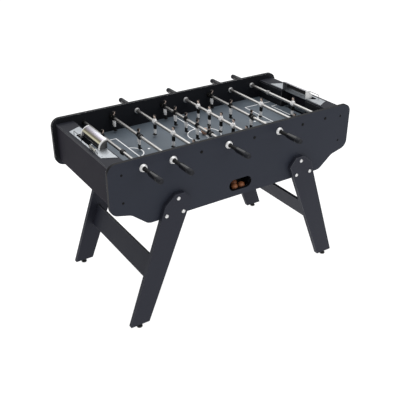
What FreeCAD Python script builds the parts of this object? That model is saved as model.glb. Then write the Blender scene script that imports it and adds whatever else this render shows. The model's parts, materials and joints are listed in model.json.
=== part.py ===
import FreeCAD, Part
import math
import os
import re
import Sketcher

# Football table with eight telescopic rods. Origin: floor level under the middle of the table.
# +X runs along the table, -Y is the near side, +Z is up. Millimetres and degrees.

Vector = FreeCAD.Vector
doc = FreeCAD.newDocument("FootballTable")

# ---------------------------------------------------------------- sizes
sizes = {
    # case
    "table_top": 885, "play_width": 606, "side_thickness": 18,
    "rod_pitch": 150, "keeper_gap": 58, "goal_wall_thickness": 12, "pocket_depth": 59,
    "end_thickness": 18, "end_inset": 23, "end_panel_height": 183, "end_drop": 28,
    "side_depth": 333, "side_end_depth": 240, "slope_top_depth": 265,
    "slope_inset": 101, "belly_inset": 184,
    "top_corner": 45, "end_corner": 46, "slope_fillet": 60, "belly_fillet": 50,
    # pitch and goals
    "rod_drop": 49, "rod_over_pitch": 80, "pitch_thickness": 12,
    "goal_width": 200, "cheek_thickness": 8, "goal_notch": 15,
    "drop_hole_margin": 9, "shelf_thickness": 8,
    "plate_thickness": 2, "plate_inner_inset": 7, "plate_depth": 65,
    "plate_inner_length": 420, "plate_outer_length": 354,
    "slot_inset": 33, "slot_width": 29, "slot_length": 220, "slot_shift": 15,
    "hood_inset": 2, "hood_radius": 45, "hood_length": 196, "hood_sheet": 2.5,
    "hood_cheek": 3, "hood_lip_angle": 42, "screen_inset": 29, "screen_thickness": 2,
    # scorer
    "wire_diameter": 3, "wire_height": 9, "loop_height": 20, "wire_bend": 5, "wire_far": 45,
    "wire_length": 84, "wire_edge": 5, "slider_diameter": 12, "slider_length": 55, "slider_rib": 5.5,
    # rods
    "tube_diameter": 16, "inner_diameter": 12, "fit_gap": 0.05, "stop_gap": 1,
    "inner_rod_tip": 2, "far_pull": 17,
    "ring_diameter": 38, "ring_proud": 12, "barrel_diameter": 24,
    "nut_diameter": 30, "nut_proud": 10,
    "anchor_diameter": 15, "anchor_cap": 2, "anchor_flange": 26, "anchor_proud": 12,
    "handle_length": 147, "handle_neck": 20, "handle_neck_length": 40, "handle_flare": 16,
    "handle_grip": 28, "handle_waist": 25.5, "handle_end": 22, "handle_end_cut": 4, "handle_wall": 6,
    "collar_diameter": 26, "collar_length": 20, "collar_spot": 129,
    # figures
    "foot_clearance": 10, "head_reach": 38, "keeper_offset": 84, "wall_space": 32,
    "defence_spacing": 270, "midfield_spacing": 107, "attack_spacing": 183,
    "chest_width": 25, "chest_depth": 21, "waist_width": 20, "waist_depth": 16,
    "shorts_width": 24, "shorts_depth": 18, "sock_width": 17, "sock_depth": 12,
    "boot_width": 19, "boot_length": 20, "head_width": 15, "head_depth": 17, "neck_width": 9,
    "calf_swell": 1, "shoulder_cut": 4, "neck_spread": 3, "face_forward": 0.5,
    # legs
    "foot_height": 18, "foot_diameter": 30, "foot_stem": 12,
    "leg_thickness": 23, "leg_foot_inset": 52, "leg_head_inset": 262,
    "leg_foot_width": 100, "leg_head_width": 138, "leg_shoulder_rise": 75, "leg_head_rise": 119,
    "leg_outer_cut": 53, "leg_inner_cut": 36, "leg_corner": 9,
    "top_bolt_rise": 96, "low_bolt_rise": 22, "bolt_edge": 23,
    "bolt_head": 20, "bolt_dome": 5, "bolt_shank": 8, "bolt_tail": 2, "nut_across": 17, "nut_height": 7,
    "stretcher_low": 226, "stretcher_height": 117, "stretcher_thickness": 16, "stretcher_inset": 44,
    # small fittings
    "cover_diameter": 12, "cover_proud": 1.2, "cover_stem": 8, "cover_stem_length": 6,
    "cover_inset": 65, "cover_top_drop": 58, "cover_low_drop": 193,
    # ball return
    "trough_length": 132, "trough_height": 60, "trough_drop": 273,
    "ball_diameter": 35, "bottom_thickness": 6, "bottom_lift": 8, "bottom_inset": 25,
    "tray_length": 158, "tray_depth": 76, "tray_wall": 4, "tray_height": 28,
    "ramp_rise": 92, "ramp_rail": 30, "ramp_wall": 4, "ball_row_start": 10, "ball_spread": 41,
}

# sizes that follow from the ones above
derived = {
    "wall_line": "3.5 * rod_pitch + keeper_gap",
    "pocket_end": "wall_line + goal_wall_thickness + pocket_depth",
    "end_face": "pocket_end + end_thickness",
    "half_length": "end_face + end_inset",
    "half_play": "play_width / 2",
    "half_width": "half_play + side_thickness",
    "rod_z": "table_top - rod_drop",
    "pitch_z": "rod_z - rod_over_pitch",
    "shelf_z": "table_top - end_drop",
    "shelf_low": "shelf_z - shelf_thickness",
    "plate_z": "shelf_z + plate_thickness",
    "belly_z": "table_top - side_depth",
    "leg_outer_low": "half_length - leg_foot_inset",
    "leg_outer_high": "half_length - leg_head_inset",
    "shoulder_z": "belly_z + leg_shoulder_rise",
    "leg_run": "shoulder_z - foot_height",
    "outer_slope": "(leg_outer_low - leg_outer_high) / leg_run",
    "inner_slope": "(leg_outer_low - leg_foot_width - leg_outer_high + leg_head_width) / leg_run",
    "leg_inner_high": "leg_outer_high - leg_head_width",
    "low_bolt_z": "belly_z + low_bolt_rise",
    "top_bolt_z": "belly_z + top_bolt_rise",
    "low_bolt_outer": "leg_outer_high + (shoulder_z - low_bolt_z) * outer_slope - bolt_edge",
    "low_bolt_inner": "leg_inner_high + (shoulder_z - low_bolt_z) * inner_slope + bolt_edge",
    "top_bolt_x": "(leg_outer_high + leg_inner_high) / 2",
    "slot_x": "wall_line + slot_inset + slot_width / 2",
    "screen_height": "sqrt((hood_radius - hood_sheet / 2) ^ 2 - (screen_inset + screen_thickness) ^ 2)",
    "scorer_x": "wall_line + plate_inner_inset + plate_depth - wire_edge",
    "bottom_top": "belly_z + bottom_lift",
    "handle_start": "half_width + ring_proud + stop_gap",
    "handle_tip": "handle_start + handle_length",
    "tube_start": "half_play - anchor_proud - stop_gap",
    "tube_end": "handle_tip - handle_wall",
    "rod_tip": "half_width - inner_rod_tip",
    "inner_rod_length": "2 * half_width - inner_rod_tip",
    "tube_radius": "tube_diameter / 2",
    "inner_radius": "inner_diameter / 2",
    "slider_far": "wire_far + wire_bend + stop_gap",
    "foot_x": "leg_outer_low - leg_foot_width / 2",
    "foot_y": "half_width + leg_thickness / 2",
    "half_goal": "goal_width / 2",
}

sheet = doc.addObject("Spreadsheet::Sheet", "Sizes")
for number, (name, amount) in enumerate(sizes.items(), start=1):
    sheet.set("A%d" % number, name.replace("_", " "))
    sheet.set("B%d" % number, str(amount))
    sheet.setAlias("B%d" % number, name)
doc.recompute()


def full(text):
    # spells derived sizes out and points every size at its cell
    def spell(match):
        name = match.group(0)
        if name in derived:
            return "(" + full(derived[name]) + ")"
        if name in sizes:
            return "Sizes." + name
        return name
    return re.sub(r"[a-z_]+", spell, text)


def value(text):
    return float(sheet.evalExpression(full(text)))


def bind(thing, prop, text):
    thing.setExpression(prop, full(text))


# ---------------------------------------------------------------- makers
def place(thing, x="0", y="0", z="0", turn=None):
    thing.Placement = FreeCAD.Placement(Vector(value(x), value(y), value(z)),
                                        turn or FreeCAD.Rotation())
    for axis, text in (("x", x), ("y", y), ("z", z)):
        bind(thing, "Placement.Base." + axis, text)
    return thing


def new_body(label):
    body = doc.addObject("PartDesign::Body", label)
    body.Label = label
    return body


def new_sketch(body, name, role):
    planes = [item for item in body.Origin.OriginFeatures if item.Role == role]
    sketch = body.newObject("Sketcher::SketchObject", name)
    sketch.AttachmentSupport = [(planes[0], "")]
    sketch.MapMode = "FlatFace"
    return sketch


def pin_point(sketch, geometry, spot, across, up):
    for kind, text in (("DistanceX", across), ("DistanceY", up)):
        rule = sketch.addConstraint(Sketcher.Constraint(kind, -1, 1, geometry, spot, value(text)))
        bind(sketch, "Constraints[%d]" % rule, text)


def outline(body, name, role, corners):
    # closed polygon whose corners are pairs of size expressions
    sketch = new_sketch(body, name, role)
    spots = [Vector(value(across), value(up), 0) for across, up in corners]
    first = sketch.GeometryCount
    for start, stop in zip(spots, spots[1:] + spots[:1]):
        sketch.addGeometry(Part.LineSegment(start, stop), False)
    count = len(spots)
    for step in range(count):
        following = first + (step + 1) % count
        sketch.addConstraint(Sketcher.Constraint("Coincident", first + step, 2, following, 1))
    for step, (across, up) in enumerate(corners):
        pin_point(sketch, first + step, 1, across, up)
    return sketch


def circles(body, name, role, rounds):
    # rounds holds (across, up, diameter) expressions
    sketch = new_sketch(body, name, role)
    for across, up, diameter in rounds:
        middle = Vector(value(across), value(up), 0)
        ring = sketch.addGeometry(Part.Circle(middle, Vector(0, 0, 1), value(diameter) / 2), False)
        rule = sketch.addConstraint(Sketcher.Constraint("Diameter", ring, value(diameter)))
        bind(sketch, "Constraints[%d]" % rule, diameter)
        pin_point(sketch, ring, 3, across, up)
    return sketch


def round_slot(body, name, role, across, up, length, width, upright):
    # straight slot with half-round ends
    sketch = new_sketch(body, name, role)
    reach = value("(%s - %s) / 2" % (length, width))
    radius = value(width) / 2
    middle = Vector(value(across), value(up), 0)
    along = Vector(0, 1, 0) if upright else Vector(1, 0, 0)
    side = Vector(-1, 0, 0) if upright else Vector(0, 1, 0)
    tilt = math.pi / 2 if upright else 0
    far, near = middle + along * reach, middle - along * reach
    sketch.addGeometry(Part.LineSegment(near + side * radius, far + side * radius), False)
    far_round = Part.Circle(far, Vector(0, 0, 1), radius)
    sketch.addGeometry(Part.ArcOfCircle(far_round, tilt - math.pi / 2, tilt + math.pi / 2), False)
    sketch.addGeometry(Part.LineSegment(far - side * radius, near - side * radius), False)
    near_round = Part.Circle(near, Vector(0, 0, 1), radius)
    sketch.addGeometry(Part.ArcOfCircle(near_round, tilt + math.pi / 2, tilt + 3 * math.pi / 2), False)
    for pair in ((0, 2, 1, 2), (1, 1, 2, 1), (2, 2, 3, 2), (3, 1, 0, 1)):
        sketch.addConstraint(Sketcher.Constraint("Tangent", *pair))
    rule = sketch.addConstraint(Sketcher.Constraint("Radius", 1, radius))
    bind(sketch, "Constraints[%d]" % rule, width + " / 2")
    offset = "(%s - %s) / 2" % (length, width)
    for arc, sign in ((1, "+"), (3, "-")):
        if upright:
            pin_point(sketch, arc, 3, across, "%s %s %s" % (up, sign, offset))
        else:
            pin_point(sketch, arc, 3, "%s %s %s" % (across, sign, offset), up)
    return sketch


def add_pad(body, sketch, length, symmetric=False, reverse=False):
    pad = body.newObject("PartDesign::Pad", sketch.Name + "_pad")
    pad.Profile = sketch
    pad.SideType = "Symmetric" if symmetric else "One side"
    pad.Reversed = reverse
    bind(pad, "Length", length)
    doc.recompute()
    return pad


def add_pocket(body, sketch, length=None, reverse=False):
    before = body.Shape.Volume
    pocket = body.newObject("PartDesign::Pocket", sketch.Name + "_pocket")
    pocket.Profile = sketch
    if length is None:
        pocket.Type = "ThroughAll"
        pocket.SideType = "Symmetric"
    else:
        pocket.Reversed = reverse
        bind(pocket, "Length", length)
    doc.recompute()
    if body.Shape.Volume >= before - 1:
        raise RuntimeError(body.Label + ": " + sketch.Name + " cuts nothing")
    return pocket


def add_turning(body, sketch):
    # full turn about the body's own Z
    turning = body.newObject("PartDesign::Revolution", sketch.Name + "_turning")
    turning.Profile = sketch
    axes = [item for item in body.Origin.OriginFeatures if item.Role == "Z_Axis"]
    turning.ReferenceAxis = (axes[0], [""])
    turning.Angle = 360
    doc.recompute()
    return turning


hairline = 0.000001
match_reach = 0.01


def round_edges(body, thickness_axis, corners, radius):
    # fillets the straight edges that cross the board at the given corners
    source = body.Tip
    spots = [(value(across), value(up)) for across, up in corners]
    names = []
    for number, edge in enumerate(source.Shape.Edges, start=1):
        box = edge.BoundBox
        middle = edge.CenterOfMass
        if thickness_axis == "y":
            flat = box.XLength + box.ZLength < hairline
            across, up = middle.x, middle.z
        else:
            flat = box.XLength + box.YLength < hairline
            across, up = middle.x, middle.y
        if flat and any(math.hypot(across - x, up - y) < match_reach for x, y in spots):
            names.append("Edge%d" % number)
    fillet = body.newObject("PartDesign::Fillet", "round_%s" % radius)
    fillet.Base = (source, names)
    bind(fillet, "Radius", radius)
    doc.recompute()
    return fillet


def gather(label, things):
    group = doc.addObject("Part::Compound", label)
    group.Label = label
    group.Links = things
    return group


def mirrored(thing, normal):
    twin = doc.addObject("Part::Mirroring", thing.Name + "_twin")
    twin.Source = thing
    twin.Normal = normal
    return twin


def copies(label, shape, spots):
    # one piece or set repeated at irregular places
    group = doc.addObject("Part::Feature", label)
    group.Label = label
    made = []
    for spot in spots:
        for solid in shape.Solids:
            piece = solid.copy()
            piece.Placement = spot.multiply(piece.Placement)
            made.append(piece)
    group.Shape = Part.makeCompound(made)
    return group


parts = []


def keep(thing):
    parts.append(thing)
    return thing


half_turn = FreeCAD.Rotation(Vector(0, 0, 1), 180)
lay_near = FreeCAD.Rotation(Vector(1, 0, 0), 90)
lay_far = half_turn.multiply(lay_near)

# Rods of one team, counted from its own goal. The far team is the near one turned half a turn.
rows = [
    {"role": "keeper", "spot": "-3.5", "figures": 1, "spacing": "attack_spacing"},
    {"role": "defence", "spot": "-2.5", "figures": 2, "spacing": "defence_spacing"},
    {"role": "midfield", "spot": "-0.5", "figures": 5, "spacing": "midfield_spacing"},
    {"role": "attack", "spot": "1.5", "figures": 3, "spacing": "attack_spacing"},
]
teams = [
    {"name": "near", "side": "1", "lay": lay_near, "turn": FreeCAD.Rotation(), "pull": "0"},
    {"name": "far", "side": "-1", "lay": lay_far, "turn": half_turn, "pull": "far_pull"},
]


# ---------------------------------------------------------------- side panels
def leg_bolt_spots(hand):
    return [("%s * top_bolt_x" % hand, "top_bolt_z"),
            ("%s * low_bolt_outer" % hand, "low_bolt_z"),
            ("%s * low_bolt_inner" % hand, "low_bolt_z")]


def cover_spots():
    return [("%s * (half_length - cover_inset)" % hand, "table_top - %s" % drop)
            for hand in ("1", "-1") for drop in ("cover_top_drop", "cover_low_drop")]


def side_panel(label, turn, has_trough):
    body = new_body(label)
    right = [("half_length", "table_top"), ("half_length", "table_top - side_end_depth"),
             ("half_length - slope_inset", "table_top - slope_top_depth"),
             ("half_length - belly_inset", "belly_z")]
    left = [("-(%s)" % across, up) for across, up in right]
    add_pad(body, outline(body, "board", "XZ_Plane", right + left[::-1]), "side_thickness")
    for spot, radius in enumerate(("top_corner", "end_corner", "slope_fillet", "belly_fillet")):
        round_edges(body, "y", [right[spot], left[spot]], radius)
    bearing_holes = [("%s * rod_pitch" % row["spot"], "rod_z", "barrel_diameter + 2 * fit_gap")
                     for row in rows]
    anchor_holes = [("-(%s) * rod_pitch" % row["spot"], "rod_z", "anchor_diameter + 2 * fit_gap")
                    for row in rows]
    bolt_holes = [(across, up, "bolt_shank + 2 * fit_gap")
                  for hand in ("1", "-1") for across, up in leg_bolt_spots(hand)]
    holes = bearing_holes + anchor_holes + bolt_holes
    add_pocket(body, circles(body, "through_holes", "XZ_Plane", holes))
    if has_trough:
        add_pocket(body, round_slot(body, "trough_mouth", "XZ_Plane", "0", "table_top - trough_drop",
                                    "trough_length", "trough_height", False))
    # blind holes for the cover stems, cut from the outer face
    stems = [(across, up, "cover_stem + 2 * fit_gap") for across, up in cover_spots()]
    blind = circles(body, "cover_holes", "XZ_Plane", stems)
    blind.AttachmentOffset = FreeCAD.Placement(Vector(0, 0, value("side_thickness")),
                                               FreeCAD.Rotation())
    bind(blind, "AttachmentOffset.Base.z", "side_thickness")
    add_pocket(body, blind, "cover_stem_length + fit_gap")
    side = "-1" if has_trough else "1"
    return keep(place(body, y="%s * half_play" % side, turn=turn))


side_panel("near_side_panel", FreeCAD.Rotation(), True)
side_panel("far_side_panel", half_turn, False)


# ---------------------------------------------------------------- ends, pitch and floor
def board(label, length, width, height, x, y, z):
    box = doc.addObject("Part::Box", label)
    box.Label = label
    bind(box, "Length", length)
    bind(box, "Width", width)
    bind(box, "Height", height)
    return place(box, x, y, z)


keep(board("left_end_panel", "end_thickness", "play_width", "end_panel_height",
           "-end_face", "-half_play", "shelf_low - end_panel_height"))
keep(board("right_end_panel", "end_thickness", "play_width", "end_panel_height",
           "pocket_end", "-half_play", "shelf_low - end_panel_height"))
keep(board("bottom_board", "2 * (half_length - belly_inset - bottom_inset)", "play_width",
           "bottom_thickness", "-(half_length - belly_inset - bottom_inset)", "-half_play",
           "bottom_top - bottom_thickness"))


def rectangle(low_x, high_x, half_y):
    return [(low_x, "-(%s)" % half_y), (high_x, "-(%s)" % half_y), (high_x, half_y), (low_x, half_y)]


def playfield():
    body = new_body("playfield")
    slab = outline(body, "slab", "XY_Plane", rectangle("-pocket_end", "pocket_end", "half_play"))
    add_pad(body, slab, "pitch_thickness", reverse=True)
    # a ball that has passed the goal mouth drops through here
    hole_start = "wall_line + goal_wall_thickness + drop_hole_margin"
    hole_stop = "pocket_end - drop_hole_margin"
    half_hole = "half_goal - drop_hole_margin"
    for name, low, high in (("right_drop", hole_start, hole_stop),
                            ("left_drop", "-(%s)" % hole_stop, "-(%s)" % hole_start)):
        add_pocket(body, outline(body, name, "XY_Plane", rectangle(low, high, half_hole)))
    return keep(place(body, z="pitch_z"))


playfield()


def notched(inner_x, inner_y, outer_x, outer_y):
    # board over the goal, cut back where the keeper's foot swings past
    back = "wall_line + goal_notch"
    return [(inner_x, "-(%s)" % inner_y), (outer_x, "-(%s)" % outer_y), (outer_x, outer_y),
            (inner_x, inner_y), (inner_x, "half_goal"), (back, "half_goal"),
            (back, "-half_goal"), (inner_x, "-half_goal")]


def end_shelf():
    body = new_body("end_shelf_board")
    top = outline(body, "top", "XY_Plane", notched("wall_line", "half_play", "end_face", "half_play"))
    add_pad(body, top, "shelf_thickness", reverse=True)
    add_pocket(body, round_slot(body, "finger_slot", "XY_Plane", "slot_x", "-slot_shift",
                                "slot_length", "slot_width", True))
    return place(body, z="shelf_z")


# the left goal is the right one turned half a turn
both_ends = [FreeCAD.Placement(), FreeCAD.Placement(Vector(), half_turn)]
keep(copies("end_shelves", end_shelf().Shape, both_ends))


def goal_wall():
    # wall across one side of the pitch, with a cheek back to the end panel beside the goal
    body = new_body("goal_wall_angle")
    wall_back = "wall_line + goal_wall_thickness"
    cheek_back = "half_goal + cheek_thickness"
    corners = [("wall_line", "half_goal"), ("pocket_end", "half_goal"), ("pocket_end", cheek_back),
               (wall_back, cheek_back), (wall_back, "half_play"), ("wall_line", "half_play")]
    add_pad(body, outline(body, "angle", "XY_Plane", corners), "shelf_low - pitch_z")
    return place(body, z="pitch_z")


far_wall = goal_wall()
right_walls = [far_wall, mirrored(far_wall, (0, 1, 0))]
keep(gather("goal_walls", right_walls + [mirrored(wall, (1, 0, 0)) for wall in right_walls]))


def goal_plate():
    body = new_body("goal_plate_sheet")
    inner = "wall_line + plate_inner_inset"
    corners = notched(inner, "plate_inner_length / 2", inner + " + plate_depth", "plate_outer_length / 2")
    add_pad(body, outline(body, "sheet", "XY_Plane", corners), "plate_thickness")
    add_pocket(body, round_slot(body, "plate_slot", "XY_Plane", "slot_x", "-slot_shift",
                                "slot_length", "slot_width", True))
    return place(body, z="shelf_z")


keep(copies("goal_plates", goal_plate().Shape, both_ends))


def goal_hood():
    # quarter-round sheet between two quarter-round cheeks, open to the pitch; a screen closes the
    # space below the lip
    def sector(name, radius, length, angle, start, y):
        piece = doc.addObject("Part::Cylinder", name)
        bind(piece, "Radius", radius)
        bind(piece, "Height", length)
        bind(piece, "Angle", angle)
        roll = lay_near.multiply(FreeCAD.Rotation(Vector(0, 0, 1), start))
        return place(piece, "wall_line + hood_inset", y, "plate_z", roll)

    lip = value("hood_lip_angle")
    shell = doc.addObject("Part::Cut", "hood_shell")
    shell.Base = sector("hood_outside", "hood_radius", "hood_length - hood_cheek",
                        "90 - hood_lip_angle", lip, "(hood_length - hood_cheek) / 2")
    shell.Tool = sector("hood_inside", "hood_radius - hood_sheet", "hood_length + hood_cheek",
                        "90", 0, "(hood_length + hood_cheek) / 2")
    cheeks = [sector("near_hood_cheek", "hood_radius", "hood_cheek", "90", 0,
                     "hood_cheek - hood_length / 2"),
              sector("far_hood_cheek", "hood_radius", "hood_cheek", "90", 0, "hood_length / 2")]
    screen = board("hood_screen", "screen_thickness", "hood_length - hood_cheek", "screen_height",
                   "wall_line + hood_inset + screen_inset", "-(hood_length - hood_cheek) / 2", "plate_z")
    hood = doc.addObject("Part::MultiFuse", "goal_hood_sheet")
    hood.Shapes = [shell, screen] + cheeks
    hood.Refine = True
    doc.recompute()
    return hood


keep(copies("goal_hoods", goal_hood().Shape, both_ends))


# ---------------------------------------------------------------- scorers
def score_wire(name, height):
    # staple: up from the plate, along it and down again
    radius, bend = value("wire_diameter") / 2, value("wire_bend")
    x, low = value("scorer_x"), value("plate_z")
    high = low + value(height)
    far, near = -value("wire_far"), -value("wire_far + wire_length")
    knee = bend * (1 - math.sqrt(0.5))
    spots = [Vector(x, far, low), Vector(x, far, high - bend), Vector(x, far - knee, high - knee),
             Vector(x, far - bend, high), Vector(x, near + bend, high),
             Vector(x, near + knee, high - knee), Vector(x, near, high - bend), Vector(x, near, low)]
    edges = [Part.LineSegment(spots[0], spots[1]).toShape(),
             Part.Arc(spots[1], spots[2], spots[3]).toShape(),
             Part.LineSegment(spots[3], spots[4]).toShape(),
             Part.Arc(spots[4], spots[5], spots[6]).toShape(),
             Part.LineSegment(spots[6], spots[7]).toShape()]
    section = Part.Wire([Part.makeCircle(radius, spots[0], Vector(0, 0, 1))])
    thing = doc.addObject("Part::Feature", name)
    thing.Shape = Part.Wire(edges).makePipeShell([section], True, False)
    return thing


bare_wire = score_wire("bare_score_wire", "loop_height")
marked_wire = mirrored(score_wire("marked_score_wire", "wire_height"), (0, 1, 0))
right_wires = gather("right_score_wires", [bare_wire, marked_wire])
doc.recompute()
keep(copies("score_wires", right_wires.Shape, both_ends))


def score_slider(label, side, lay):
    # ribbed marker, turned about its bore
    body = new_body(label)
    bore = "wire_diameter / 2 + fit_gap"
    groove = "slider_diameter / 2 - wire_diameter / 2"
    outer = "slider_diameter / 2"
    ribs = int(value("slider_length / (2 * slider_rib)"))
    tooth = "slider_length / %d" % (2 * ribs - 1)
    corners = [(bore, "0")]
    for step in range(2 * ribs - 1):
        radius = outer if step % 2 == 0 else groove
        corners += [(radius, "%d * %s" % (step, tooth)), (radius, "%d * %s" % (step + 1, tooth))]
    corners.append((bore, "slider_length"))
    add_turning(body, outline(body, "ribs", "XZ_Plane", corners))
    return keep(place(body, "%s * scorer_x" % side, "%s * slider_far" % side,
                      "plate_z + wire_height", lay))


score_slider("left_score_slider", "-1", lay_near)
score_slider("right_score_slider", "1", lay_far)


# ---------------------------------------------------------------- rod bearings and anchors
def turned_piece(name, corners):
    body = new_body(name)
    add_turning(body, outline(body, "profile", "XZ_Plane", corners))
    return body


# turned about the rod axis; the profile's height is the distance from the table's middle
bearing = turned_piece("rod_bearing_turning", [
    ("tube_radius + fit_gap", "half_play - nut_proud"),
    ("nut_diameter / 2 - 3", "half_play - nut_proud"),
    ("nut_diameter / 2", "half_play - nut_proud + 3"),
    ("nut_diameter / 2", "half_play"),
    ("barrel_diameter / 2", "half_play"),
    ("barrel_diameter / 2", "half_width"),
    ("ring_diameter / 2", "half_width"),
    ("ring_diameter / 2", "half_width + 3"),
    ("ring_diameter / 2 - 5", "half_width + ring_proud"),
    ("tube_radius + fit_gap", "half_width + ring_proud")])
anchor = turned_piece("rod_anchor_turning", [
    ("inner_radius + fit_gap", "half_play - anchor_proud"),
    ("anchor_flange / 2 - 2", "half_play - anchor_proud"),
    ("anchor_flange / 2", "half_play - anchor_proud + 3"),
    ("anchor_flange / 2", "half_play"),
    ("anchor_diameter / 2", "half_play"),
    ("anchor_diameter / 2", "half_width + anchor_cap"),
    ("0", "half_width + anchor_cap"),
    ("0", "rod_tip + fit_gap"),
    ("inner_radius + fit_gap", "rod_tip + fit_gap")])


def rod_spots(opposite):
    # one placement for each rod: on its handle side, or opposite it
    spots = []
    for team in teams:
        for row in rows:
            base = Vector(value("%s * %s * rod_pitch" % (team["side"], row["spot"])), 0, value("rod_z"))
            lay = team["lay"]
            if opposite:
                lay = half_turn.multiply(lay)
            spots.append(FreeCAD.Placement(base, lay))
    return spots


keep(copies("rod_bearings", bearing.Shape, rod_spots(False)))
keep(copies("rod_anchors", anchor.Shape, rod_spots(True)))


# ---------------------------------------------------------------- moulded figure
corner_share = 0.28
# heights as shares of the reach below the rod (negative) and above it
levels = {"instep": -0.93, "ankle": -0.84, "calf": -0.62, "hem": -0.46, "knee": -0.44, "waist": -0.19,
          "rod": 0, "armpit": 0.30, "throat": 0.40, "shoulder": 0.45, "jaw": 0.60, "brow": 0.82, "crown": 1}


def section(depth, width, height, forward=0.0):
    # eight-sided outline: a rectangle with its corners cut
    cut = min(depth, width) * corner_share
    right, front = width / 2, depth / 2
    spots = [(front, -right + cut), (front, right - cut), (front - cut, right), (cut - front, right),
             (-front, right - cut), (-front, -right + cut), (cut - front, -right), (front - cut, -right)]
    corners = [Vector(x + forward, y, height) for x, y in spots]
    return Part.makePolygon(corners + corners[:1])


def figure_solid():
    # stands on the rod axis and faces +X; heights run from the sole to the crown
    down = value("rod_over_pitch - foot_clearance")
    up = value("head_reach")
    toe = value("(boot_length - sock_depth) / 2")

    def cut_at(level, depth, width, forward=0.0):
        share = levels[level]
        return section(value(depth), value(width), share * (up if share > 0 else down), forward)

    boot = [section(value("boot_length"), value("boot_width"), -down, toe),
            cut_at("instep", "boot_length", "boot_width", toe),
            cut_at("ankle", "sock_depth", "sock_width")]
    shin = [cut_at("ankle", "sock_depth", "sock_width"),
            cut_at("calf", "sock_depth + calf_swell", "sock_width + calf_swell"),
            cut_at("knee", "sock_depth", "sock_width")]
    shorts = [cut_at("hem", "shorts_depth", "shorts_width"),
              cut_at("waist", "waist_depth", "waist_width")]
    chest = [cut_at("waist", "waist_depth", "waist_width"),
             cut_at("rod", "chest_depth", "chest_width"),
             cut_at("armpit", "chest_depth - shoulder_cut", "chest_width"),
             cut_at("shoulder", "neck_width", "neck_width + neck_spread")]
    face = value("face_forward")
    head = [cut_at("throat", "neck_width", "neck_width"),
            cut_at("jaw", "head_depth", "head_width", face),
            cut_at("brow", "head_depth", "head_width", face),
            cut_at("crown", "head_depth / 2", "head_width / 2")]
    pieces = [Part.makeLoft(wires, True, True) for wires in (boot, shin, shorts, chest, head)]
    solid = pieces[0].multiFuse(pieces[1:]).removeSplitter()
    radius = value("tube_radius + fit_gap")
    width = value("2 * chest_width")
    bore = Part.makeCylinder(radius, width, Vector(0, -width / 2, 0), Vector(0, 1, 0))
    return solid.cut(bore)


figure = figure_solid()


# ---------------------------------------------------------------- rods
def rod_cylinder(name, radius, length):
    piece = doc.addObject("Part::Cylinder", name)
    bind(piece, "Radius", radius)
    bind(piece, "Height", length)
    return piece


def inner_rod(label, x, lay):
    rod = rod_cylinder(label, "inner_radius", "inner_rod_length")
    rod.Label = label
    spin = 1 if lay == lay_near else -1
    return keep(place(rod, x, "%d * rod_tip" % spin, "rod_z", lay))


def outer_tube(label, x, lay, pull):
    body = new_body(label)
    wall = circles(body, "wall", "XY_Plane", [("0", "0", "tube_diameter"),
                                              ("0", "0", "inner_diameter + 2 * fit_gap")])
    wall.AttachmentOffset = FreeCAD.Placement(Vector(0, 0, -value("tube_start")), FreeCAD.Rotation())
    bind(wall, "AttachmentOffset.Base.z", "-tube_start")
    add_pad(body, wall, "tube_start + tube_end")
    spin = -1 if lay == lay_near else 1
    return keep(place(body, x, "%d * %s" % (spin, pull), "rod_z", lay))


def turned_on_tube(label, corners, x, lay, pull):
    body = turned_piece(label, corners)
    spin = -1 if lay == lay_near else 1
    return keep(place(body, x, "%d * %s" % (spin, pull), "rod_z", lay))


def handle_corners():
    bore = "tube_radius + fit_gap"
    flare = "handle_start + handle_neck_length"
    grip = flare + " + handle_flare"
    waist = "(%s + handle_tip - handle_end_cut) / 2" % grip
    return [(bore, "handle_start"), ("handle_neck / 2", "handle_start"),
            ("handle_neck / 2", flare), ("handle_grip / 2", grip),
            ("handle_waist / 2", waist), ("handle_grip / 2", "handle_tip - handle_end_cut"),
            ("handle_end / 2", "handle_tip"), ("0", "handle_tip"),
            ("0", "tube_end"), (bore, "tube_end")]


def collar_corners():
    low = "collar_spot - collar_length / 2"
    high = "collar_spot + collar_length / 2"
    return [("tube_radius + fit_gap", low), ("collar_diameter / 2 - 2", low),
            ("collar_diameter / 2", low + " + 2"), ("collar_diameter / 2", high + " - 2"),
            ("collar_diameter / 2 - 2", high), ("tube_radius + fit_gap", high)]


def figure_row(label, team, row, x):
    # near-team figures are pushed towards the far wall, and the other way round
    if row["role"] == "keeper":
        shift = value("keeper_offset")
    else:
        span = "(%d * %s)" % (row["figures"] - 1, row["spacing"])
        shift = value("half_play - wall_space - %s / 2" % span)
    spots = []
    for number in range(row["figures"]):
        step = (number - (row["figures"] - 1) / 2) * value(row["spacing"])
        across = shift + step - value(team["pull"])
        base = Vector(value(x), value(team["side"]) * across, value("rod_z"))
        spots.append(FreeCAD.Placement(base, team["turn"]))
    return keep(copies(label, figure, spots))


for team in teams:
    for row in rows:
        prefix = team["name"] + "_" + row["role"]
        x = "%s * %s * rod_pitch" % (team["side"], row["spot"])
        inner_rod(prefix + "_inner_rod", x, team["lay"])
        outer_tube(prefix + "_tube", x, team["lay"], team["pull"])
        turned_on_tube(prefix + "_handle", handle_corners(), x, team["lay"], team["pull"])
        figure_row(prefix + "_figures", team, row, x)
        if row["role"] == "keeper":
            turned_on_tube(prefix + "_stop_collar", collar_corners(), x, team["lay"], team["pull"])


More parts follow.
